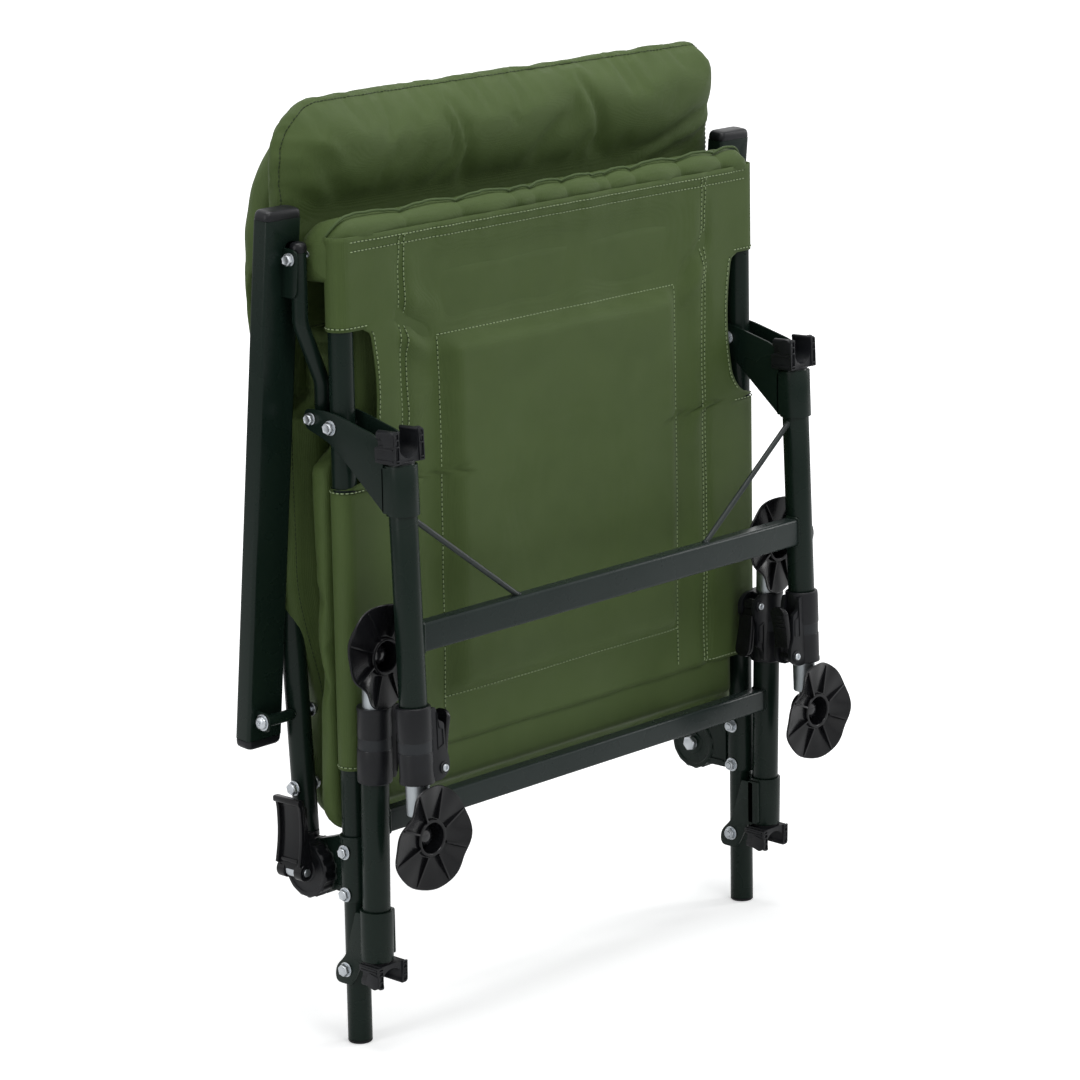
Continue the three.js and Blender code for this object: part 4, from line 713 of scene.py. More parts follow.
def collar(leg, length):
    """A pressed collar round the leg, split down its outer side."""
    gap = 0.07
    angles = np.linspace(gap, 2 * math.pi - gap, 56) + math.pi * 0.72
    ring = [(math.cos(a), math.sin(a)) for a in angles]
    outline = [(14.8 * u, 14.8 * v) for u, v in ring] + [(12.8 * u, 12.8 * v) for u, v in ring[::-1]]
    return prism(outline, 1, 1 + length, leg)


# Brackets: two pressed plates on a collar, with cheeks that join them to it
PLATE_AT, PLATE = 12.8, 2
PIVOT_REACH = 15.1
FRONT_PIVOT_Z, REAR_PIVOT_Z = 562, 71
LINK_FOOT, LINK_TOP = (24.3, 567), (24, 709)


def plates(*outlines):
    """The same plates on both sides of the seat tube."""
    made = Shape()
    for low in (HALF - PLATE_AT - PLATE, HALF + PLATE_AT):
        for outline in outlines:
            made = made + side_plate(outline, low, low + PLATE)
    return made


front_plate = rounded([(32.8, 575.5, 8.5), (32.8, 558.5, 8.5), (0, 548, 14), (-62, 495, 2), (-62, 560, 14),
                       (0, 576, 14)])
front_bracket = collar(FRONT_LEG, 44) + plates(front_plate, block(-60, 495, -71, 535, 2))
pair("front_hinge_bracket_{}", front_bracket, FRAME, "front_legs", "front_bracket_{}", bevel=0.4)
link_foot_bolt = hex_head(HALF + 14.8, 1, *LINK_FOOT, 5.2, 4.2, 5.5) + lock_nut(HALF - 14.8, -1, *LINK_FOOT)
pair("link_foot_bolt_{}", link_foot_bolt, ZINC, "front_legs")
pair("front_bracket_bolt_{}", bolt(PIVOT_REACH, 0, FRONT_PIVOT_Z), ZINC, "front_legs", "front_pivot_bolt_{}")
rear_plate = rounded([(14, 71, 13), (0, 85, 7), (-13, 127, 2), (-27, 127, 2), (-27, 85, 2), (-20, 83, 2), (-7, 57, 7),
                      (14, 57, 13)])
rear_cheek = side_plate(block(-33, 86, -21, 128, 2), HALF - 14.8, HALF - 10.2)
pair("rear_hinge_bracket_{}", collar(REAR_LEG, 46) + plates(rear_plate) + rear_cheek, FRAME, "rear_legs",
     "rear_bracket_{}", bevel=0.4)
pair("rear_bracket_bolt_{}", bolt(PIVOT_REACH, 0, REAR_PIVOT_Z), ZINC, "rear_legs", "rear_pivot_bolt_{}")


def snap_clip(height, shift, centre_x):
    """A plastic U that snaps on the seat tube: thick jaws with hooked lips, a stepped boss on each outer
    side and a cored front end, on a plug in the leg's end. It opens towards -w."""
    top = height + 0.3
    front, back, mouth, bed = -8.8, 13.0, 11.4, 5.3
    throat = [(mouth * math.cos(a), bed + mouth + mouth * math.sin(a)) for a in np.linspace(-math.pi, 0, 17)]
    if height < 25:
        throat = [(u, bed + (v - bed) * 0.7) for u, v in throat]
    jaw = [(15.2, 0.3, 0.8), (15.2, top - 9, 1.5), (17.2, top - 7, 2), (17.2, top - 1.8, 2.4), (14.0, top, 3),
           (11.2, top - 0.6, 1), (10.9, top - 2.4, 0.8), (11.5, top - 4.6, 0.8)]
    outline = np.vstack([rounded(jaw, 4), throat[::-1], rounded([(-u, v, r) for u, v, r in jaw[::-1]], 4)])

    def flank(side):
        place = basis(Y, -Z, X * side, (centre_x, shift, 0))
        end = basis(X * side, -Z, Y, (centre_x, shift, 0))
        boss = rounded([(front, 2, 1), (back + 2, 2, 1), (back + 2, top - 15, 1), (back - 8, top - 13, 2),
                        (front, top - 11, 1)], 3)
        rim = rounded([(front - 0.4, top - 12.5, 1), (back - 10, top - 15, 2), (back - 6, top - 3, 4),
                       (front + 4, top + 0.3, 6), (front - 0.4, top - 3, 3)], 5)
        made = prism(boss, 14.6, 17.6, place) + prism(rim, 14.4, 18.4, place)
        for v in (3.4, top - 16.5):
            made = made + prism(block(front + 2, v, back, v + 1.5, 0.5, 2), 17.5, 18.3, place)
        for low, high in ((4.0, 5.2), (top - 14, top - 12.8), (top - 8.2, top - 7.0)):
            made = made + prism(block(12.6, low, 17, high, 0.3, 2), front - 1.3, front, end)
        edge = [(12.0, 1.2, 1), (18.2, 1.2, 1), (18.2, top - 1, 3), (11.2, top - 0.6, 2), (11.9, top - 6, 1)]
        core = [(13.0, 2.6, 0.8), (16.9, 2.6, 0.8), (16.9, top - 2.6, 2), (12.8, top - 2.4, 1), (12.9, top - 6, 1)]
        path = [(0, 0, front - 1.1), (0, 0, front + 0.2)]
        return made + sweep(path, rounded(edge, 4), rounded(core, 4), up=(1, 0, 0)).moved(end)

    flange = lathe([(0, -2.6), (12.2, -2.6), (12.6, -2.2), (12.6, -0.3), (10.5, -0.2), (10.4, 12), (0, 12)], 40)
    return prism(outline, front, back, basis(X, -Z, Y, (centre_x, shift, 0))) + both(flank) + flange


pair("front_snap_clip_{}", snap_clip(30, -2, 0).moved(FRONT_LEG), PLASTIC, "front_legs", "front_clip_{}", bevel=0.35)
pair("rear_snap_clip_{}", snap_clip(22, -7, -3).moved(REAR_LEG), PLASTIC, "rear_legs", "rear_clip_{}", bevel=0.35)

# Height clamps, drawn from the end of the outer tube; the lever's pin stands out at CLAMP_PIN
CLAMP_PIN = (-23.5, 0, 25)


def clamp_housing():
    """A rounded grip, a lower jaw and two stepped ears that hold the lever's pin."""
    upper = [(12.8, -34), (14.7, -34), (15.4, -33.2), (15.7, -30), (15.6, -4), (15.2, -3), (12.8, -3)]
    lower = [(12.6, 7), (15.0, 7), (15.3, 8), (15.1, 30), (15.6, 32), (15.5, 34.6), (11, 34.6), (11, 7)]

    def ear(side):
        outline = rounded([(-11, -31, 2), (-16.5, -31, 3), (-18.5, -19, 3), (-26, -15, 3), (-26.5, 8, 3),
                           (-30.5, 16, 5), (-31, 28, 7), (-22, 35, 4), (-11, 35, 2)], 5)
        slot = rounded([(-17, -27, 1), (-19.5, -12, 1), (-24, -10, 1), (-24.4, 5, 1), (-17, 8, 1)], 3)
        rim = sweep([(0, 0, 10.5), (0, 0, 11.3)], slot, slot * 0.9 + slot.mean(0) * 0.1, up=(1, 0, 0))
        boss = lathe([(0, 10.4), (5.4, 10.4), (5.4, 11.6), (4.9, 12.1), (0, 12.1)], 28)
        return (prism(outline, 6.4, 10.6) + rim).moved(facing(side)) + boss.moved(facing(side, CLAMP_PIN))

    jaw = prism(rounded([(-10, 9, 1), (-19.5, 9, 2), (-19.5, 19, 2), (-10, 19, 1)], 3), -5.4, 5.4, facing(1))
    return lathe(upper, 48, closed=True) + lathe(lower, 48, closed=True) + both(ear) + jaw


def pin_head(side):
    head = lathe([(0, 11.8), (3.3, 11.8), (3.4, 12.9), (2.9, 13.6), (1.5, 13.7), (1.2, 12.7), (0, 12.6)], 26)
    return head.moved(facing(side, CLAMP_PIN))


def clamp_lever():
    """Cam lever: a barrel on the pin, a neck, and a thick handle with a round end and a ribbed face."""
    pin = CLAMP_PIN[2]
    barrel = lathe([(0, -5.6), (5.2, -5.6), (5.6, -5.2), (5.6, 5.2), (5.2, 5.6), (0, 5.6)], 32)
    neck = prism(rounded([(-21, pin, 1), (-27, pin, 2), (-31, pin - 14, 1), (-26.8, pin - 20, 1)]), -5.6, 5.6)

    def spine(share):
        return -29.6 - 6.0 * share ** 1.8, 0, pin - 9 - 40 * share

    shares = np.linspace(0, 1, 25)
    widths = [math.sqrt(max(1 - max(0, (s - 0.8) / 0.215) ** 2, 0.05)) * (0.9 + 0.16 * s) for s in shares]
    ring = block(-9.2, -2.6, 9.2, 2.6, 2, 4, far=1.2)
    handle = sweep([spine(s) for s in shares], ring, up=(0, 1, 0), scales=widths)
    made = barrel.moved(facing(1, CLAMP_PIN)) + neck.moved(facing(1)) + handle
    for share in (0.5, 0.6, 0.7, 0.8):
        x, y, z = spine(share)
        made = made + rod(x - 2.5, y, z, 6.2, circle(0.75, 10))
    return made


# Feet
FOOT_TURN = math.radians(52)
FOOT_INNER = 16.5


def foot_edge(angle):
    return 46 - 6.5 * np.clip(np.cos(2 * (angle - FOOT_TURN)), 0, 1) ** 5


def foot_height(angle, share):
    wave = 4.5 * share ** 1.4 * np.cos(2 * (angle - FOOT_TURN))
    return 11.4 + 3.5 * share ** 1.5 + wave + 0.9 * share * np.cos(8 * angle)


def foot_disc():
    """A dished, wavy foot about its ball. The sole looks along -y, and the leg comes from -w."""
    steps = 96
    angles = turns(steps)
    sole = [(FOOT_INNER + (foot_edge(angles) - FOOT_INNER) * share, foot_height(angles, share))
            for share in np.linspace(0, 1, 12)]
    top = [(r, w + 2.2) for r, w in sole]
    rows = sole + [(sole[-1][0] + 0.7, sole[-1][1] + 1.1)] + top[::-1]
    points = np.vstack([np.stack([r * np.sin(angles), w, r * np.cos(angles)], 1) for r, w in rows])
    faces = []
    for i in range(len(rows)):
        faces += band(i * steps, (i + 1) % len(rows) * steps, steps)
    cup = lathe([(8.4, -7), (13.4, -7), (14, -6.4), (14.2, 6.5), (16.6, 10.6), (16.8, 12), (16.8, 15.4), (16.3, 16.2),
                 (14.2, 16.2), (13.6, 15.6), (13.4, 9.0), (12.2, 4), (11.2, 0), (9.9, -4)], 56, closed=True)
    made = Shape(points, faces) + cup.moved(basis(X, -Z, Y))
    for i in range(8):
        angle = math.pi / 8 + i * math.pi / 4
        outer, rise = foot_edge(angle) - 1.2, foot_height(angle, 1)
        outline = rounded([(17.6, 12, 0.2), (outer, rise + 1, 0.2), (outer, rise + 2.8, 0.6), (17.6, 17.2, 0.5)], 3)
        out = np.array((math.sin(angle), 0, math.cos(angle)))
        made = made + prism(outline, -0.8, 0.8, basis(out, Y, np.cross(out, Y)))
    return made.moved(np.diag([-1.0, -1, 1, 1]))


FOOT = foot_disc()


def leg_end(end, leg, length, up):
    """The inner tube with its ball and foot, and the height clamp of one pair of legs."""
    def add(name, shape, style, body, replaces="", **rest):
        pair(f"{end}_{name}_{{}}", shape.moved(leg), style, f"{end}_{body}", replaces and f"{end}_{replaces}", **rest)

    reach = length + BALL_AT
    inner = tube([(0, 0, 30), (0, 0, reach - 19)], 10.6, 8.2)
    inner = inner + lathe([(0, reach - 21), (9.4, reach - 21), (10.2, reach - 20), (10.2, reach - 18.6),
                           (9.6, reach - 18), (0, reach - 18)], 40)
    stem = lathe([(0, reach - 20), (6.4, reach - 19), (5.2, reach - 15), (4.2, reach - 12), (4.2, reach - 5),
                  (0, reach - 5)], 28)
    clamp_band = lathe([(12.8, -3.4), (14.9, -3.4), (15.0, -3), (14.8, 7), (14.6, 7.6), (12.8, 7.6)], 48, closed=True)
    add("inner_tube", inner, BARE, "leg_inner_{}", "leg_inner_{}", bevel=0.3)
    add("ball", stem + ball(10.6, (0, 0, reach), 24, 40), BALL, "leg_inner_{}")
    add("clamp_housing", clamp_housing().shifted(0, 0, length), PLASTIC, "legs", "clamp_{}", bevel=0.35)
    add("clamp_band", clamp_band.shifted(0, 0, length), BAND, "legs", bevel=0.2)
    add("clamp_handle", clamp_lever().shifted(0, 0, length), GLOSS, "clamp_lever_{}", "clamp_lever_{}", bevel=0.3)
    add("clamp_pin", both(pin_head).shifted(0, 0, length), ZINC, "clamp_lever_{}")
    for side, way in (("right", 1), ("left", -1)):
        place = np.diag([-1.0, 1, up, 1])
        place[:3, 3] = point_on(leg, reach) * (way, 1, 1)
        foot = f"{end}_foot_{side}"
        piece(f"{end}_foot_disc_{side}", FOOT.moved(place), GLOSS, foot, [foot], bevel=0.3)


leg_end("front", FRONT_LEG, FRONT_LENGTH, -1)
leg_end("rear", REAR_LEG, REAR_LENGTH, 1)

# ---------------------------------------------------------------- back frame
BACK = leaning(0, BACK_Y, BACK_Z, -BACK_LEAN)
BACK_BOLT_REACH = 11.3
back_hoop = tube(hoop(0, BACK_LENGTH, 95, 22), TUBE, BACK_BORE)
piece("back_tube", back_hoop.moved(BACK), FRAME, "backrest", ["back_frame_tube"], bevel=0.3)
neck_arm = rounded([(38, 166, 1), (64, 166, 1), (72, 180, 2), (71.6, 185.4, 1), (49.6, 185.6, 1), (49.6, 180, 2)])
plug = sweep([(HALF, 0, -0.3), (HALF, 0, 60)], circle(9.7, 36))
ferrule = lathe([(0, -6), (10.2, -6), (TUBE, -5.4), (TUBE, -0.9), (10.4, -0.3), (0, -0.3)], 40).shifted(HALF, 0, 0)
back_hinge = toothed_disc(1) + side_plate(neck_arm, HALF + 1.5, HALF + 11.5) + (plug + ferrule).moved(BACK)
pair("back_hinge_plate_{}", back_hinge, PLASTIC, "backrest", "back_knuckle_{}", bevel=0.35)
pair("back_hinge_bolt_{}", bolt(BACK_BOLT_REACH, *point_on(BACK, 40)[1:]), ZINC, "backrest")

# ---------------------------------------------------------------- armrests
# In armrest coordinates w runs from the pivot to the link's bolt and on
ARM_X, ARM_PIVOT = 297.5, (64, 294)
ARM_REACH = math.hypot(40, 415)
ARM = leaning(ARM_X, *ARM_PIVOT, math.atan2(40, 415))
ARM_MIDDLE = 18


def arm_ring(inset, corner=3.5):
    u, v = 20.5 - inset, 9 - inset
    return rounded([(v, -u, corner), (v, u, corner), (-v, u, corner), (-v, -u, corner)][::-1], 5)


def lug(s, tail, low, high):
    outline = [(-8.5, s + 8.5, 7.5), (-8.5, s - 8.5 - tail, 7.5), (9.6, s - 8.5 - tail, 1), (9.6, s + 8.5, 1)]
    return side_plate(rounded(outline), low, high)


def arm_cap(end, way):
    """An end cap: a flange that overhangs the tube a little, and a dome."""
    levels = [(-10, 0.9), (-0.2, 0.9), (0.1, 1.012), (1.2, 1.02), (4.5, 1.0), (6.6, 0.95), (7.8, 0.86), (8.3, 0.7)]
    path = [(0, ARM_MIDDLE, end + way * h) for h, _ in levels[::way]]
    return sweep(path, arm_ring(0, 5.5), up=(0, 1, 0), scales=[scale for _, scale in levels[::way]]).moved(ARM)


arm_path = [(0, ARM_MIDDLE, -20), (0, ARM_MIDDLE, ARM_REACH + 33)]
arm_body = sweep(arm_path, arm_ring(0), arm_ring(1.4, 2.6), up=(0, 1, 0))
link_slot = block(-17.6, ARM_REACH - 12.5, -1.6, ARM_REACH + 13, 7.9, 8)
arm_body = cut(arm_body, prism(link_slot, 7, 13, basis(X, Z, Y)))
arm_body = arm_body + lug(ARM_REACH, 25.5, -1.5, 0.5) + lug(0, 0, 10.5, 12.5)
pair("armrest_tube_{}", arm_body.moved(ARM), ARMREST, "armrest_{}", "armrest_{}", bevel=0.3)
pair("armrest_cap_upper_{}", arm_cap(ARM_REACH + 33.2, 1), PLASTIC, "armrest_{}", "arm_cap_upper_{}")
pair("armrest_cap_lower_{}", arm_cap(-20.2, -1), PLASTIC, "armrest_{}", "arm_cap_lower_{}")
spacer = lathe([(3.2, 275.4), (5.0, 275.4), (5.2, 275.8), (5.2, 307.3), (5.0, 307.7), (3.2, 307.7)], 32, closed=True)
SCREW_X, SCREW_NUT = 310.3, HALF - BACK_BOLT_REACH
arm_screw = pan_head(SCREW_X, 1, *ARM_PIVOT) + lock_nut(SCREW_NUT, -1, *ARM_PIVOT)
arm_screw = arm_screw + shank(SCREW_NUT, SCREW_X, *ARM_PIVOT)
pair("arm_bolt_{}", arm_screw, ZINC, "backrest", "arm_pivot_bolt_{}")
pair("arm_spacer_{}", outward(spacer, 0, 1, *ARM_PIVOT), FRAME, "backrest")

# Links: cranked tubes with a plug at the top
LINK_X, RIVET_X, LINK_HEAD_X = 288, 280.7, 298.3
LINK_PATH = bent([(LINK_X, 24, 714), (LINK_X, 24.1, 652), (HALF, 24.2, 598), (HALF, 24.3, 559)], 28, 10)
pair("link_tube_{}", tube(LINK_PATH, 7, 5.6, 32), FRAME, "link_{}", "link_{}", bevel=0.25)
link_cap = lathe([(0, 700), (5.4, 700), (5.4, 713.6), (7.3, 714.2), (7.5, 715), (7.5, 718.5), (6.8, 721),
                  (5.2, 722.4), (2.6, 723), (0, 723.1)], 36)
pair("link_plug_{}", link_cap.shifted(LINK_X, 24, 0), PLASTIC, "link_{}")
pair("link_foot_pin_{}", shank(HALF - 12.6, HALF + 12.6, *LINK_FOOT), ZINC, "link_{}")
rivet = lathe([(0, 0), (6.0, 0), (6.0, 0.8), (4.6, 1.8), (0, 2.1)], 28)
link_bolt = hex_head(LINK_HEAD_X, 1, *LINK_TOP, 5.4, 4.4, 5.7) + outward(rivet, RIVET_X, -1, *LINK_TOP)
link_bolt = link_bolt + shank(RIVET_X, LINK_HEAD_X, *LINK_TOP)
pair("armrest_link_bolt_{}", link_bolt, ZINC, "armrest_{}", "link_bolt_{}")

# ---------------------------------------------------------------- soft pieces
CLOTH_FRAMES = 20
SOFT_ANGLE = 75


def smooth(value, low, high):
    t = np.clip((value - low) / (high - low), 0, 1)
    return t * t * (3 - 2 * t)


def ripple(t, seed, wave):
    """Uneven waves along one coordinate, between about -1 and 1."""
    rng = np.random.default_rng(seed)
    total = np.zeros_like(np.asarray(t, float))
    for i in range(4):
        length = wave / (1.0 + 0.55 * i) * rng.uniform(0.8, 1.25)
        height = rng.uniform(0.5, 1.0) / (1 + 0.6 * i)
        total = total + height * np.sin(2 * math.pi * t / length + rng.uniform(0, 6.28))
    return total / 2.1


def field(x, z, seed, wave):
    """Uneven gentle waves over a sheet, between about -1 and 1."""
    rng = np.random.default_rng(seed)
    total = np.zeros_like(x)
    for i in range(5):
        angle, length = rng.uniform(0, math.pi), wave / (1 + 0.5 * i) * rng.uniform(0.8, 1.2)
        along = x * math.cos(angle) + z * math.sin(angle)
        across = -x * math.sin(angle) + z * math.cos(angle)
        bend = 0.25 * length * np.sin(2 * math.pi * across / (length * 2.3) + rng.uniform(0, 6.28))
        height = rng.uniform(0.5, 1) / (1 + 0.5 * i)
        total = total + height * np.sin(2 * math.pi * (along + bend) / length + rng.uniform(0, 6.28))
    return total / 2.4


def with_folds(y, x, z, folds):
    """Adds soft ridges, each along a line from start to end and tapering at both ends."""
    for start, end, width, height in folds:
        a, b = np.array(start, float), np.array(end, float)
        d = b - a
        length = np.linalg.norm(d)
        d = d / length
        along = ((x - a[0]) * d[0] + (z - a[1]) * d[1]) / length
        across = -(x - a[0]) * d[1] + (z - a[1]) * d[0]
        taper = smooth(along, -0.25, 0.3) * smooth(-along, -1.25, -0.6)
        y = y + height * taper * np.exp(-(across / width) ** 2)
    return y


def cushion(left, right, foot, top, corners, front, back, bulge, step=5.0):
    """A box cushion: two panels, front and back, and a band between them with a seam along each edge.

    corners are the radii at foot left, foot right, top right and top left. front and back give y at
    (x, z, inside), where inside is the distance to the outline.
    """
    nx, nz = int((right - left) / step), int((top - foot) / step)
    xs, zs = np.meshgrid(np.linspace(left, right, nx + 1), np.linspace(foot, top, nz + 1), indexing="ij")
    x, z = xs.copy(), zs.copy()
    inside = np.minimum(np.minimum(xs - left, right - xs), np.minimum(zs - foot, top - zs))
    for radius, sx, sz, cx, cz in ((corners[0], -1, -1, left, foot), (corners[1], 1, -1, right, foot),
                                   (corners[2], 1, 1, right, top), (corners[3], -1, 1, left, top)):
        du, dv = sx * (xs - (cx - sx * radius)), sz * (zs - (cz - sz * radius))
        spot = (du > 0) & (dv > 0)
        long, reach = np.maximum(du, dv), np.hypot(du, dv) + 1e-9
        x = np.where(spot, cx - sx * radius + sx * du * long / reach, x)
        z = np.where(spot, cz - sz * radius + sz * dv * long / reach, z)
    faces = []
    count = (nx + 1) * (nz + 1)
    index = np.arange(count).reshape(nx + 1, nz + 1)
    for i in range(nx):
        for j in range(nz):
            a, b, c, d = index[i, j], index[i + 1, j], index[i + 1, j + 1], index[i, j + 1]
            faces.append((a, b, c, d))
            faces.append((a + count, d + count, c + count, b + count))
    points = [np.stack([x.ravel(), y.ravel(), z.ravel()], 1) for y in (front(x, z, inside), back(x, z, inside))]
    loop = [index[i, 0] for i in range(nx)] + [index[nx, j] for j in range(nz)]
    loop += [index[i, nz] for i in range(nx, 0, -1)] + [index[0, j] for j in range(nz, 0, -1)]
    n = len(loop)
    ends = [points[0][loop], points[1][loop]]
    tangent = np.roll(ends[0], -1, 0) - np.roll(ends[0], 1, 0)
    out = np.stack([tangent[:, 2], np.zeros(n), -tangent[:, 0]], 1)
    out /= np.linalg.norm(out, axis=1)[:, None]
    length = np.concatenate([[0], np.cumsum(np.linalg.norm(np.diff(ends[0], axis=0), axis=1))])
    shares = [0.06, *np.linspace(0.14, 0.86, 7), 0.94]
    rings = [np.array(loop)]
    for k, t in enumerate(shares):
        swell = bulge * (4 * t * (1 - t)) ** 0.5 * (1 + 0.12 * ripple(length, 11, 70))
        pull = -1.3 if k in (0, len(shares) - 1) else 0
        points.append(ends[0] * (1 - t) + ends[1] * t + out * (swell + pull)[:, None])
        rings.append(2 * count + k * n + np.arange(n))
    rings.append(np.array(loop) + count)
    for a, b in zip(rings, rings[1:]):
        faces += [(a[i], b[i], b[(i + 1) % n], a[(i + 1) % n]) for i in range(n)]
    return Shape(np.vstack(points), faces), loop, out


def narrowed(shape, full, width_at):
    """Draws the sides in or out so that half the width follows width_at(z)."""
    points = shape.points.copy()
    hold = full - 70
    side = np.abs(points[:, 0])
    share = np.clip((side - hold) / (full - hold), 0, None)
    points[:, 0] = np.sign(points[:, 0]) * np.where(side > hold, hold + share * (width_at(points[:, 2]) - hold), side)
    return Shape(points, shape.faces)


def inflate(shape, held, cap, pressure, growth, loop=()):
    """Blows a closed shape up with Blender's cloth. held and cap say, for points in millimetres, how
    firmly the cloth is held (0 to 1) and how far it may move. The seam along loop is held firmly."""
    hold = held(shape.points)
    if len(loop):
        hold[loop] = np.maximum(hold[loop], 0.85)
    mesh = new_mesh("cloth_form", (shape.points * MM).tolist(), shape.faces)
    form = new_object("cloth_form", mesh)
    group = form.vertex_groups.new(name="held")
    for i, share in enumerate(hold):
        if share > 0:
            group.add([i], float(share), "REPLACE")
    cloth = form.modifiers.new("cloth", "CLOTH")
    for key, value in {
            "quality": 5, "mass": 0.3, "tension_stiffness": 25, "compression_stiffness": 25, "shear_stiffness": 12,
            "bending_stiffness": 4.0, "use_pressure": True, "uniform_pressure_force": pressure,
            "shrink_min": -growth, "vertex_group_mass": "held"}.items():
        setattr(cloth.settings, key, value)
    cloth.settings.effector_weights.gravity = 0
    cloth.collision_settings.use_collision = False
    cloth.point_cache.frame_start, cloth.point_cache.frame_end = 1, CLOTH_FRAMES
    for step in range(1, CLOTH_FRAMES + 1):
        bpy.context.scene.frame_set(step)
    settled = form.evaluated_get(bpy.context.evaluated_depsgraph_get()).data
    places = np.empty(len(settled.vertices) * 3)
    settled.vertices.foreach_get("co", places)
    bpy.context.scene.frame_set(1)
    bpy.data.objects.remove(form)
    bpy.data.meshes.remove(mesh)
    move = places.reshape(-1, 3) / MM - shape.points
    far = np.linalg.norm(move, axis=1) + 1e-9
    most = cap(shape.points)
    share = most * np.tanh(far / (most + 1e-9)) / far
    return Shape(shape.points + move * share[:, None], shape.faces)


def stitches(path, normals, length=3.0, gap=1.4, radius=0.5, lift=0.35, start=0.0):
    """Short threads laid along a line of points, each one dipping into the cloth at its ends."""
    path = np.array(path, float)
    normals = np.broadcast_to(np.array(normals, float), path.shape)
    steps = np.linalg.norm(np.diff(path, axis=0), axis=1)
    total = np.concatenate([[0], np.cumsum(steps)])
    made, faces, n = [], [], 6
    ring = circle(radius, n)
    while start + length < total[-1]:
        places, ways = [], []
        for share, rise, scale in ((0, -0.35, 0.7), (0.25, 1, 1), (0.75, 1, 1), (1, -0.35, 0.7)):
            s = start + share * length
            where, way = (np.array([np.interp(s, total, rows[:, k]) for k in range(3)]) for rows in (path, normals))
            places.append(where + way * lift * rise)
            ways.append((way, scale))
        shift = len(made) * n
        along = places[-1] - places[0]
        along /= np.linalg.norm(along)
        made += [place + scale * (ring[:, :1] * way + ring[:, 1:] * np.cross(along, way))
                 for place, (way, scale) in zip(places, ways)]
        for i in range(3):
            faces += band(shift + i * n, shift + (i + 1) * n, n)
        faces += lids(shift, shift + 3 * n, n)
        start += length + gap
    return Shape(np.vstack(made), faces)


# Headrest: a soft box cushion with one large and one small upper corner
HEAD_LEFT, HEAD_RIGHT, HEAD_FOOT, HEAD_TOP = -276.0, 284.0, 640.0, 834.0
HEAD_FRONT, HEAD_BACK = 56.0, 71.0
HEAD_FOLDS = [
    ((-92, 818), (-70, 770), 5, -3.4), ((-82, 812), (-58, 745), 8, 3.6), ((78, 812), (104, 770), 7, -2.4),
    ((92, 818), (112, 780), 7, 2.2), ((178, 736), (276, 766), 6, -5.0), ((196, 752), (276, 782), 8, 3.4),
    ((-268, 772), (-240, 764), 6, -3.2), ((-270, 760), (-246, 752), 5, 2.4), ((-252, 806), (-226, 790), 5, -2.6),
    ((-262, 796), (-236, 780), 6, 2.4)]


def head_front(x, z, inside):
    rise = 1 - np.exp(-inside / 13)
    y = HEAD_FRONT - (6 + 23 * smooth(z, 730, 806)) * rise
    y = np.where(z < 744, np.maximum(y, 48.0), y)
    y = y - 1.8 * field(x, z, 5, 130) * rise * smooth(z, 744, 775)
    shoulder = np.exp(-((HEAD_TOP - z) / 17) ** 2)
    side = np.exp(-((x - HEAD_LEFT) / 20) ** 2)
    y = y + 1.9 * ripple(x, 21, 38) * shoulder + 2.2 * ripple(z, 23, 30) * side
    return with_folds(y, x, z, HEAD_FOLDS)


def head_back(x, z, inside):
    return HEAD_BACK + 4 * (1 - np.exp(-inside / 14))


def head_held(points):
    return np.where((points[:, 1] > HEAD_BACK - 2) | (points[:, 2] < 742), 1.0, 0.0)


def head_cap(points):
    return 0.2 + 9 * smooth(points[:, 2], 744, 772) * smooth(-points[:, 1], -HEAD_BACK, -HEAD_FRONT)


head_shape, head_loop, head_out = cushion(HEAD_LEFT, HEAD_RIGHT, HEAD_FOOT, HEAD_TOP, (12, 12, 24, 52), head_front,
                                          head_back, 3.2)
head_shape = inflate(head_shape, head_held, head_cap, 3.0, 0.02, head_loop)
head_pillow = piece("headrest_pillow", head_shape, CLOTH, "backrest", ["headrest"], smooth_angle=SOFT_ANGLE)

# Back cushion: against the seat cushion in front, wrapped round the back tube behind
BACK_HALF = 269
BACK_CHANNELS = (-0.5, 0.0, 0.5)


def back_tube_y(z):
    return BACK_Y + (z - BACK_Z) * math.tan(BACK_LEAN)


def back_front(x, z, inside):
    rise = 1 - np.exp(-inside / 12)
    side = np.abs(x)
    y = 50.5 - 3.2 * rise - 0.9 * field(x, z, 31, 170) + 7 * smooth(side, 246, 266)
    y = np.where(z > 634 - 68 * smooth(side, 222, 236), np.maximum(y, 76.5), y)
    bare = smooth(side, 240, 250) * smooth(z, 560, 568) * smooth(-z, -700, -684)
    return y + bare * np.maximum(back_tube_y(z) + 2 - y, 0)


def back_back(x, z, inside):
    rise = 1 - np.exp(-inside / 18)
    y = back_tube_y(z) + 13.2 + 3.3 * rise + 1.6 * field(x, z, 33, 160) * (0.3 + 0.7 * rise)
    for share in BACK_CHANNELS:
        y = y - 4 * np.exp(-((x / 268 - share) / 0.022) ** 2) * smooth(inside, 10, 40)
    return y


def back_held(points):
    upper = (points[:, 2] > 634) & (points[:, 1] < 80)
    beside_tube = (points[:, 2] > 550) & (points[:, 2] < 710) & (np.abs(points[:, 0]) > 218) & (points[:, 1] < 92)
    return np.where((points[:, 1] < 58) | upper | beside_tube, 1.0, 0.0)


def back_cap(points):
    free = smooth(points[:, 1] - (points[:, 2] - BACK_Z) * math.tan(BACK_LEAN), 52, 66)
    return 0.2 + free * (7 - 5 * smooth(np.abs(points[:, 0]), 262, 268))


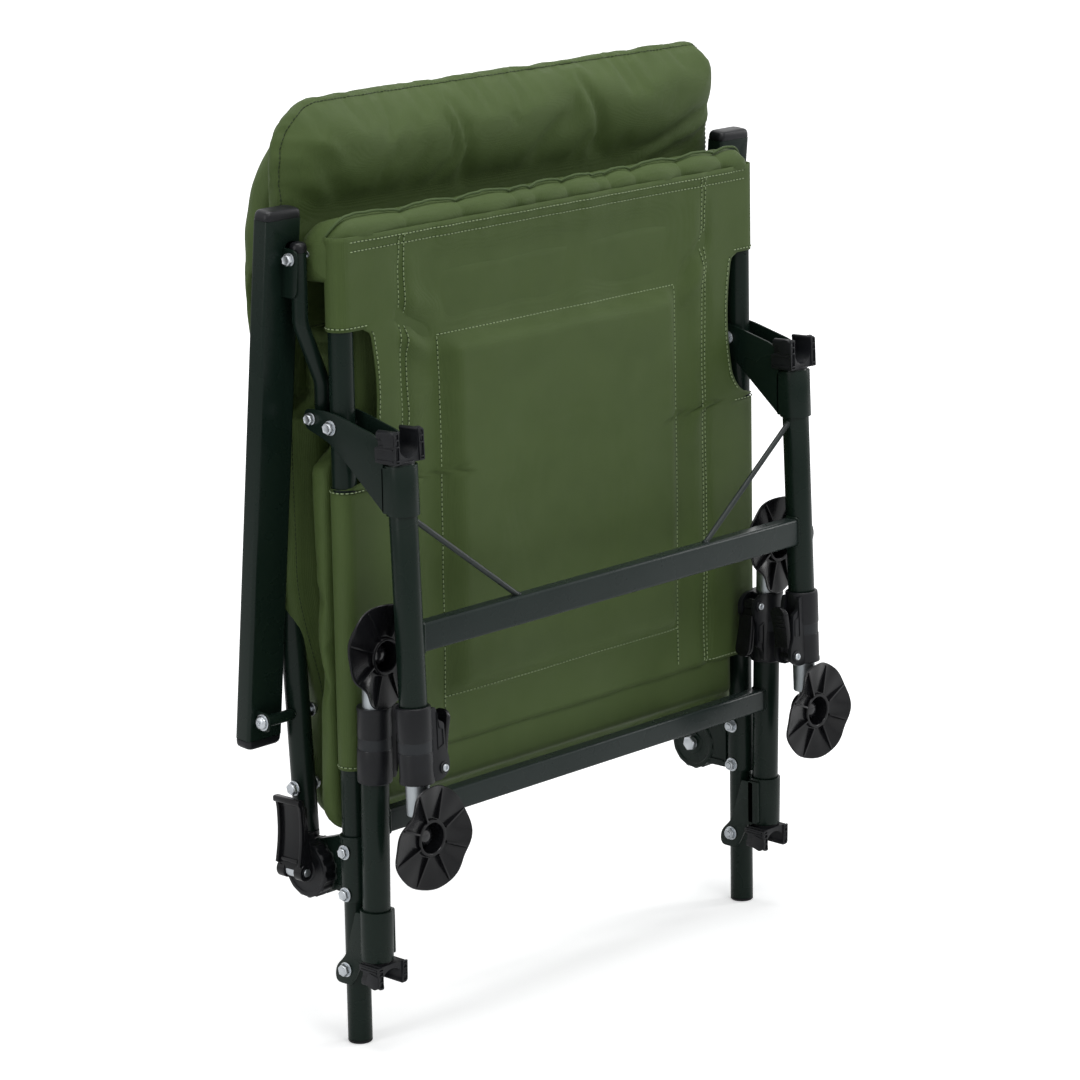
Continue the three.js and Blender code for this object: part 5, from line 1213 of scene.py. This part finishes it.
back_shape, back_loop, back_out = cushion(-BACK_HALF, BACK_HALF, 200, 818, (30, 30, 112, 112), back_front, back_back,
                                          11.5, 6.0)
back_shape = narrowed(back_shape, BACK_HALF, lambda z: 240 + 29 * smooth(z, 285, 425))
back_shape = inflate(back_shape, back_held, back_cap, 2.0, 0.012, back_loop)
back_pad = piece("back_pad", back_shape, CLOTH, "backrest", ["back_cushion"], smooth_angle=SOFT_ANGLE)

# Seat cushion: fills the frame between the tubes and stands proud behind them
PAD_HALF = 267
PAD_MIDDLE_Z = 466.5
SEAT_CHANNELS = (-0.5, 0.5)


def seat_front(x, z, inside):
    y = -10.3 + 24.3 * smooth(np.abs(x), 236, 252)
    y = np.where(z < 222, y + (14 - y) * smooth(-z, -222, -206), y)
    return np.where(z > 684, y + (14 - y) * smooth(z, 684, 698), y)


def seat_back(x, z, inside):
    rise = 1 - np.exp(-inside / 14)
    y = 33 + 12.5 * rise + 1.2 * field(x, z, 41, 150)
    for share in SEAT_CHANNELS:
        y = y - 3 * np.exp(-((z - PAD_MIDDLE_Z) / 270 - share) ** 2 / 0.0009) * smooth(inside, 6, 30)
    return np.minimum(y, 46.6)


def seat_held(points):
    return np.where((points[:, 1] < 4) | (points[:, 1] > 43), 1.0, 0.0)


def seat_cap(points):
    return 0.2 + 5 * smooth(points[:, 1], 10, 22) * smooth(-points[:, 1], -45, -38)


seat_shape, _, _ = cushion(-PAD_HALF, PAD_HALF, 196, 712, (26, 26, 18, 18), seat_front, seat_back, 7.0)
seat_shape = narrowed(seat_shape, PAD_HALF, lambda z: PAD_HALF - 23 * smooth(z, 518, 540))
seat_shape = inflate(seat_shape, seat_held, seat_cap, 2.0, 0.015)
seat_pad = piece("seat_pad", seat_shape, CLOTH, "seat", ["seat_cushion"], smooth_angle=SOFT_ANGLE)

# Front roll of the seat: cloth drawn over the tube and gathered at a piped seam
ROLL_HALF = 281.0
ROLL_Y, ROLL_Z = 18.0, 704.0
ROLL_OUTSIDE, ROLL_HEM = 11, 12
ROLL_PROFILE = [
    (-8.0, 704), (-8.2, 717), (-11.6, 726), (-10.4, 733), (-3, 738.5), (6, 739.5), (17, 739), (29, 736), (38.5, 729),
    (44, 717), (46.5, 700), (46.3, 684), (43, 684), (42.5, 700), (38, 716), (27, 726), (17, 729), (6, 730), (-2, 729),
    (-5, 726.5), (-6, 719), (-6.5, 708), (-7, 700)]
CUSPS = np.array([-281, -188, -118, -48, -23, 20, 62, 78, 112, 176, 232, 281.0])


def pucker(x):
    """The scalloped line of the gathered seam: arcs between the places where the thread pulls it in."""
    i = int(np.clip(np.searchsorted(CUSPS, x) - 1, 0, len(CUSPS) - 2))
    width = CUSPS[i + 1] - CUSPS[i]
    t = (x - CUSPS[i]) / width
    return min(4.2, 0.085 * width) * (4 * t * (1 - t)) ** 0.8


def sag(x):
    return 7 * (max(0, abs(x) - 246) / 35) ** 2


def rounded_off(x, y, z):
    """A point of the roll, drawn in towards its core near the ends."""
    share = math.sqrt(max(1 - max(0, (abs(x) - 256) / 25.4) ** 2, 0))
    return x, ROLL_Y + (y - ROLL_Y) * share, ROLL_Z + (z - ROLL_Z) * share


def roll_shape():
    nx = 230
    points, faces, m = [], [], len(ROLL_PROFILE)
    for x in np.linspace(-ROLL_HALF, ROLL_HALF, nx + 1):
        for k, (y, z) in enumerate(ROLL_PROFILE):
            outer, near, pull = 0.25, 0, 0
            if k <= ROLL_OUTSIDE:
                outer, near = 1, math.exp(-((k - 4.2) / 1.6) ** 2)
                pull = 1.5 * (pucker(x) - 2.4) * math.exp(-((k - 2.4) / 1.3) ** 2)
            lift = (pucker(x) - 2) * near + float(ripple(x + k * 7, 53, 95)) * 1.1 * outer
            y = y - pull + 1.2 * outer * float(ripple(x + 9 * k, 57, 80))
            if k > ROLL_HEM:
                z = z + (678 + 0.5 * k - z) * float(smooth(abs(x), 228, 250))
            points.append(rounded_off(x, y, z - sag(x) + lift))
    for i in range(nx):
        a, b = i * m, (i + 1) * m
        faces += [(a + j, b + j, b + (j + 1) % m, a + (j + 1) % m) for j in range(m)]
    faces += [face[::-1] for face in lids(0, nx * m, m)]
    return Shape(points, faces)


seat_roll = piece("seat_roll", roll_shape(), CLOTH, "seat", smooth_angle=SOFT_ANGLE)
piping = []
for x in np.linspace(-274, 274, 300):
    y = 1.5 + 1.5 * float(ripple(x, 63, 75)) - 0.5 * pucker(x)
    piping.append(rounded_off(x, y, 739.6 + pucker(x) - sag(x) + 0.4 * float(ripple(x, 61, 24))))
piece("seat_roll_piping", sweep(piping, circle(1.3, 12)), PIPING, "seat")

# Seat panel: one sheet, wrapped round the tubes, cut back in the middle for the brackets
PANEL_FOOT, PANEL_TOP = 254.0, 727.0
CUT_FOOT, CUT_TOP, WAIST = 507.0, 645.0, 242.0
WRAP = 12.2
WRAP_END = HALF + WRAP * math.pi + 5
# The raised stitched rectangle, and the seam across it
RAISED_HALF, RAISED_FOOT, RAISED_TOP, RAISED_SEAM = 158, 298, 627, 370
PANEL_FOLDS = [
    ((-205, 652), (-166, 626), 6, -5.0), ((-204, 634), (-170, 612), 8, 4.6), ((-196, 668), (-150, 646), 9, 2.6),
    ((205, 668), (164, 628), 7, -4.2), ((202, 644), (166, 606), 9, 3.8), ((-196, 560), (-162, 592), 9, 1.8),
    ((176, 470), (200, 520), 10, 1.8)]


def panel_relief(x, z):
    """How far the sheet stands out towards -y."""
    side = np.abs(x)
    from_side, from_top = RAISED_HALF - side, RAISED_TOP - z
    inner = smooth(from_side, -3, 20) * smooth(from_top, -2, 15) * smooth(z - RAISED_FOOT, -3, 15)
    lift = 13 * inner - 4 * inner * smooth(from_side, 30, 158) * smooth(from_top, 30, 160)
    lift = lift - 1.4 * np.exp(-((z - RAISED_SEAM) / 4) ** 2) * inner
    below_hem = smooth(-z, -712, -690)
    lift = lift - 3.0 * (smooth(z, RAISED_TOP, 650) * below_hem * smooth(-side, -200, -120))
    lift = lift + 1.5 * field(x, z, 71, 210) * smooth(-side, -245, -205)
    lift = lift - below_hem * (2.2 * np.exp(-((side - 202) / 5) ** 2) - 1.2 * np.exp(-((side - 188) / 8) ** 2))
    lift = with_folds(lift, x, z, PANEL_FOLDS)
    return lift + 1.5 * smooth(z, 717, 721) + 1.6 * ripple(x, 73, 46) * np.exp(-((PANEL_TOP - z) / 20) ** 2)


def panel_point(s, z, out=0.0):
    """A point of the sheet at s across it, from the middle, and z up it."""
    s, z = np.asarray(s, float), np.asarray(z, float)
    flat = np.clip(np.abs(s), 0, HALF)
    angle = np.clip(np.abs(s) - HALF, 0, WRAP * math.pi) / WRAP
    tail = np.clip(np.abs(s) - HALF - WRAP * math.pi, 0, None)
    hold = smooth(-np.abs(s), -252, -228)
    radius = WRAP + out
    x = flat + radius * np.sin(angle) - tail
    y = -radius * np.cos(angle) - panel_relief(np.sign(s) * flat, z) * hold
    return np.stack([np.sign(s) * x, y, z], -1)


def waist(z):
    """Half the width of the sheet at the cut-outs: drawn in at the middle, with round inner corners."""
    middle = WAIST - 8 * np.clip(np.sin(math.pi * np.clip((z - 520) / 135, 0, 1)), 0, 1) ** 1.2
    upper, lower = np.clip(8 - np.abs(z - CUT_TOP), 0, 8), np.clip(30 - np.abs(z - CUT_FOOT), 0, 30)
    return middle + (8 - np.sqrt(64 - upper ** 2)) + (30 - np.sqrt(900 - lower ** 2))


def steps_between(*runs):
    """The places of several runs (from, to, count), each once."""
    return sorted({v for run in runs for v in np.linspace(*run)})


def panel_shape():
    half = steps_between((0, WAIST, 50), (WAIST, HALF, 6), (HALF, WRAP_END, 15))
    s = np.array([-v for v in half[::-1]] + half[1:])
    z_rows = steps_between((PANEL_FOOT, CUT_FOOT, 52), (CUT_FOOT, CUT_TOP, 34), (CUT_TOP, PANEL_TOP, 18))
    points, faces, n = [], [], len(s)
    keep = np.flatnonzero(np.abs(s) <= WAIST + 0.01)
    for z in z_rows:
        w = waist(z) if CUT_FOOT - 1 <= z <= CUT_TOP + 1 else WAIST
        beyond = np.sign(s) * (w + (np.abs(s) - WAIST) * (WRAP_END - w) / (WRAP_END - WAIST))
        points.append(panel_point(np.where(np.abs(s) <= WAIST, s * w / WAIST, beyond), np.full(n, z)))
    for j, (low, high) in enumerate(zip(z_rows, z_rows[1:])):
        for i in range(n - 1):
            if CUT_FOOT < (low + high) / 2 < CUT_TOP and not keep[0] <= i < keep[-1]:
                continue
            faces.append((j * n + i, j * n + i + 1, (j + 1) * n + i + 1, (j + 1) * n + i))
    return Shape(np.vstack(points), faces)


panel = piece("seat_underside_panel", panel_shape(), PANEL, "seat", ["seat_panel"], smooth_angle=SOFT_ANGLE)
thick = panel.modifiers.new("cloth", "SOLIDIFY")
thick.thickness, thick.offset = 0.9 * MM, 0


# Stitching on the panel
def seam(s, z, count):
    """Places along a seam, where s and z are a number or the numbers at its two ends."""
    return [np.linspace(*v, count) if np.ndim(v) else np.full(count, float(v)) for v in (s, z)]


seams = []
for side in (-1, 1):
    full = (PANEL_FOOT + 4, PANEL_TOP - 4)
    seams += [seam(side * 203, full, 180), seam(side * 197, full, 180),
              seam(side * RAISED_HALF, (262, RAISED_TOP), 140)]
seams += [seam((-RAISED_HALF, RAISED_HALF), z, 120) for z in (RAISED_TOP, RAISED_SEAM, RAISED_FOOT)]
seams += [seam((-262, 262), PANEL_TOP - drop, 200) for drop in (5, 13)]
for side in (-1, 1):
    cut_edge = (side * 244, side * 300)
    z = np.linspace(CUT_FOOT + 8, CUT_TOP - 2, 60)
    seams += [seam(cut_edge, CUT_TOP + 3, 30), seam(cut_edge, CUT_FOOT - 3, 30), (side * (waist(z) - 3.5), z),
              seam((side * 200, side * 300), PANEL_FOOT + 3, 40)]
# Pale stitches, and short dark pieces in the gaps between them: painted shade of the needle holes, where the thread
# sinks into the cloth.
thread, hole_shade = Shape(), Shape()
for s, z in seams:
    here, lifted = panel_point(s, z, 0.5), panel_point(s, z, 1.5)
    out = lifted - here
    out[np.abs(s) < HALF] = (0, -1, 0)
    here[:, 1] = np.where(np.abs(s) < HALF, panel_point(s, z)[:, 1] - 0.5, here[:, 1])
    thread = thread + stitches(here, out)
    hole_shade = hole_shade + stitches(here, out, length=1.3, gap=3.1, radius=0.6, lift=-0.05, start=3.05)
panel_thread = piece("seat_panel_stitching", thread, (PALE_THREAD, "panel_fabric"), "seat")
panel_hole_shade = piece("seat_panel_painted_hole_shade", hole_shade, (DARK_THREAD_AND_HOLE_SHADE, "panel_fabric"), "seat")


# Seam threads on the cushions
def channel_threads(name, shape, body, lines):
    """Stitches on a cushion's rear face along lines of (x, z) places, smoothed along each line."""
    rear = shape.points[shape.points[:, 1] > np.interp(shape.points[:, 2], [200, 820], [40, 76])]
    made = Shape()
    for places in lines:
        line = []
        for x, z in places:
            near = np.argsort((rear[:, 0] - x) ** 2 + (rear[:, 2] - z) ** 2)[:4]
            line.append((x, rear[near, 1].mean() + 0.2, z))
        line = np.array(line)
        line[1:-1, 1] = (line[:-2, 1] + line[1:-1, 1] + line[2:, 1]) / 3
        made = made + stitches(line, (0, 1, 0))
    piece(name, made, (PALE_THREAD, "padded_fabric"), body)


def edge_threads(name, shape, loop, out):
    line = shape.points[loop] + out * 0.4 + np.array((0, 0.4, 0))
    made = stitches(np.vstack([line, line[:1]]), np.vstack([out, out[:1]]), 3.2, 1.0, 0.4, 0.3)
    piece(name, made, (DARK_THREAD_AND_HOLE_SHADE, "padded_fabric"), "backrest")


channel_threads("back_pad_channel_threads", back_shape, "backrest",
                [[(share * 268, z) for z in np.linspace(232, 790, 90)] for share in BACK_CHANNELS])
channel_threads("seat_pad_channel_threads", seat_shape, "seat",
                [[(x, PAD_MIDDLE_Z + 270 * share) for x in np.linspace(-228, 228, 80)] for share in SEAT_CHANNELS])
edge_threads("headrest_seam", head_shape, head_loop, head_out)
edge_threads("back_pad_seam", back_shape, back_loop, back_out)

bpy.context.scene.view_settings.view_transform = "Standard"
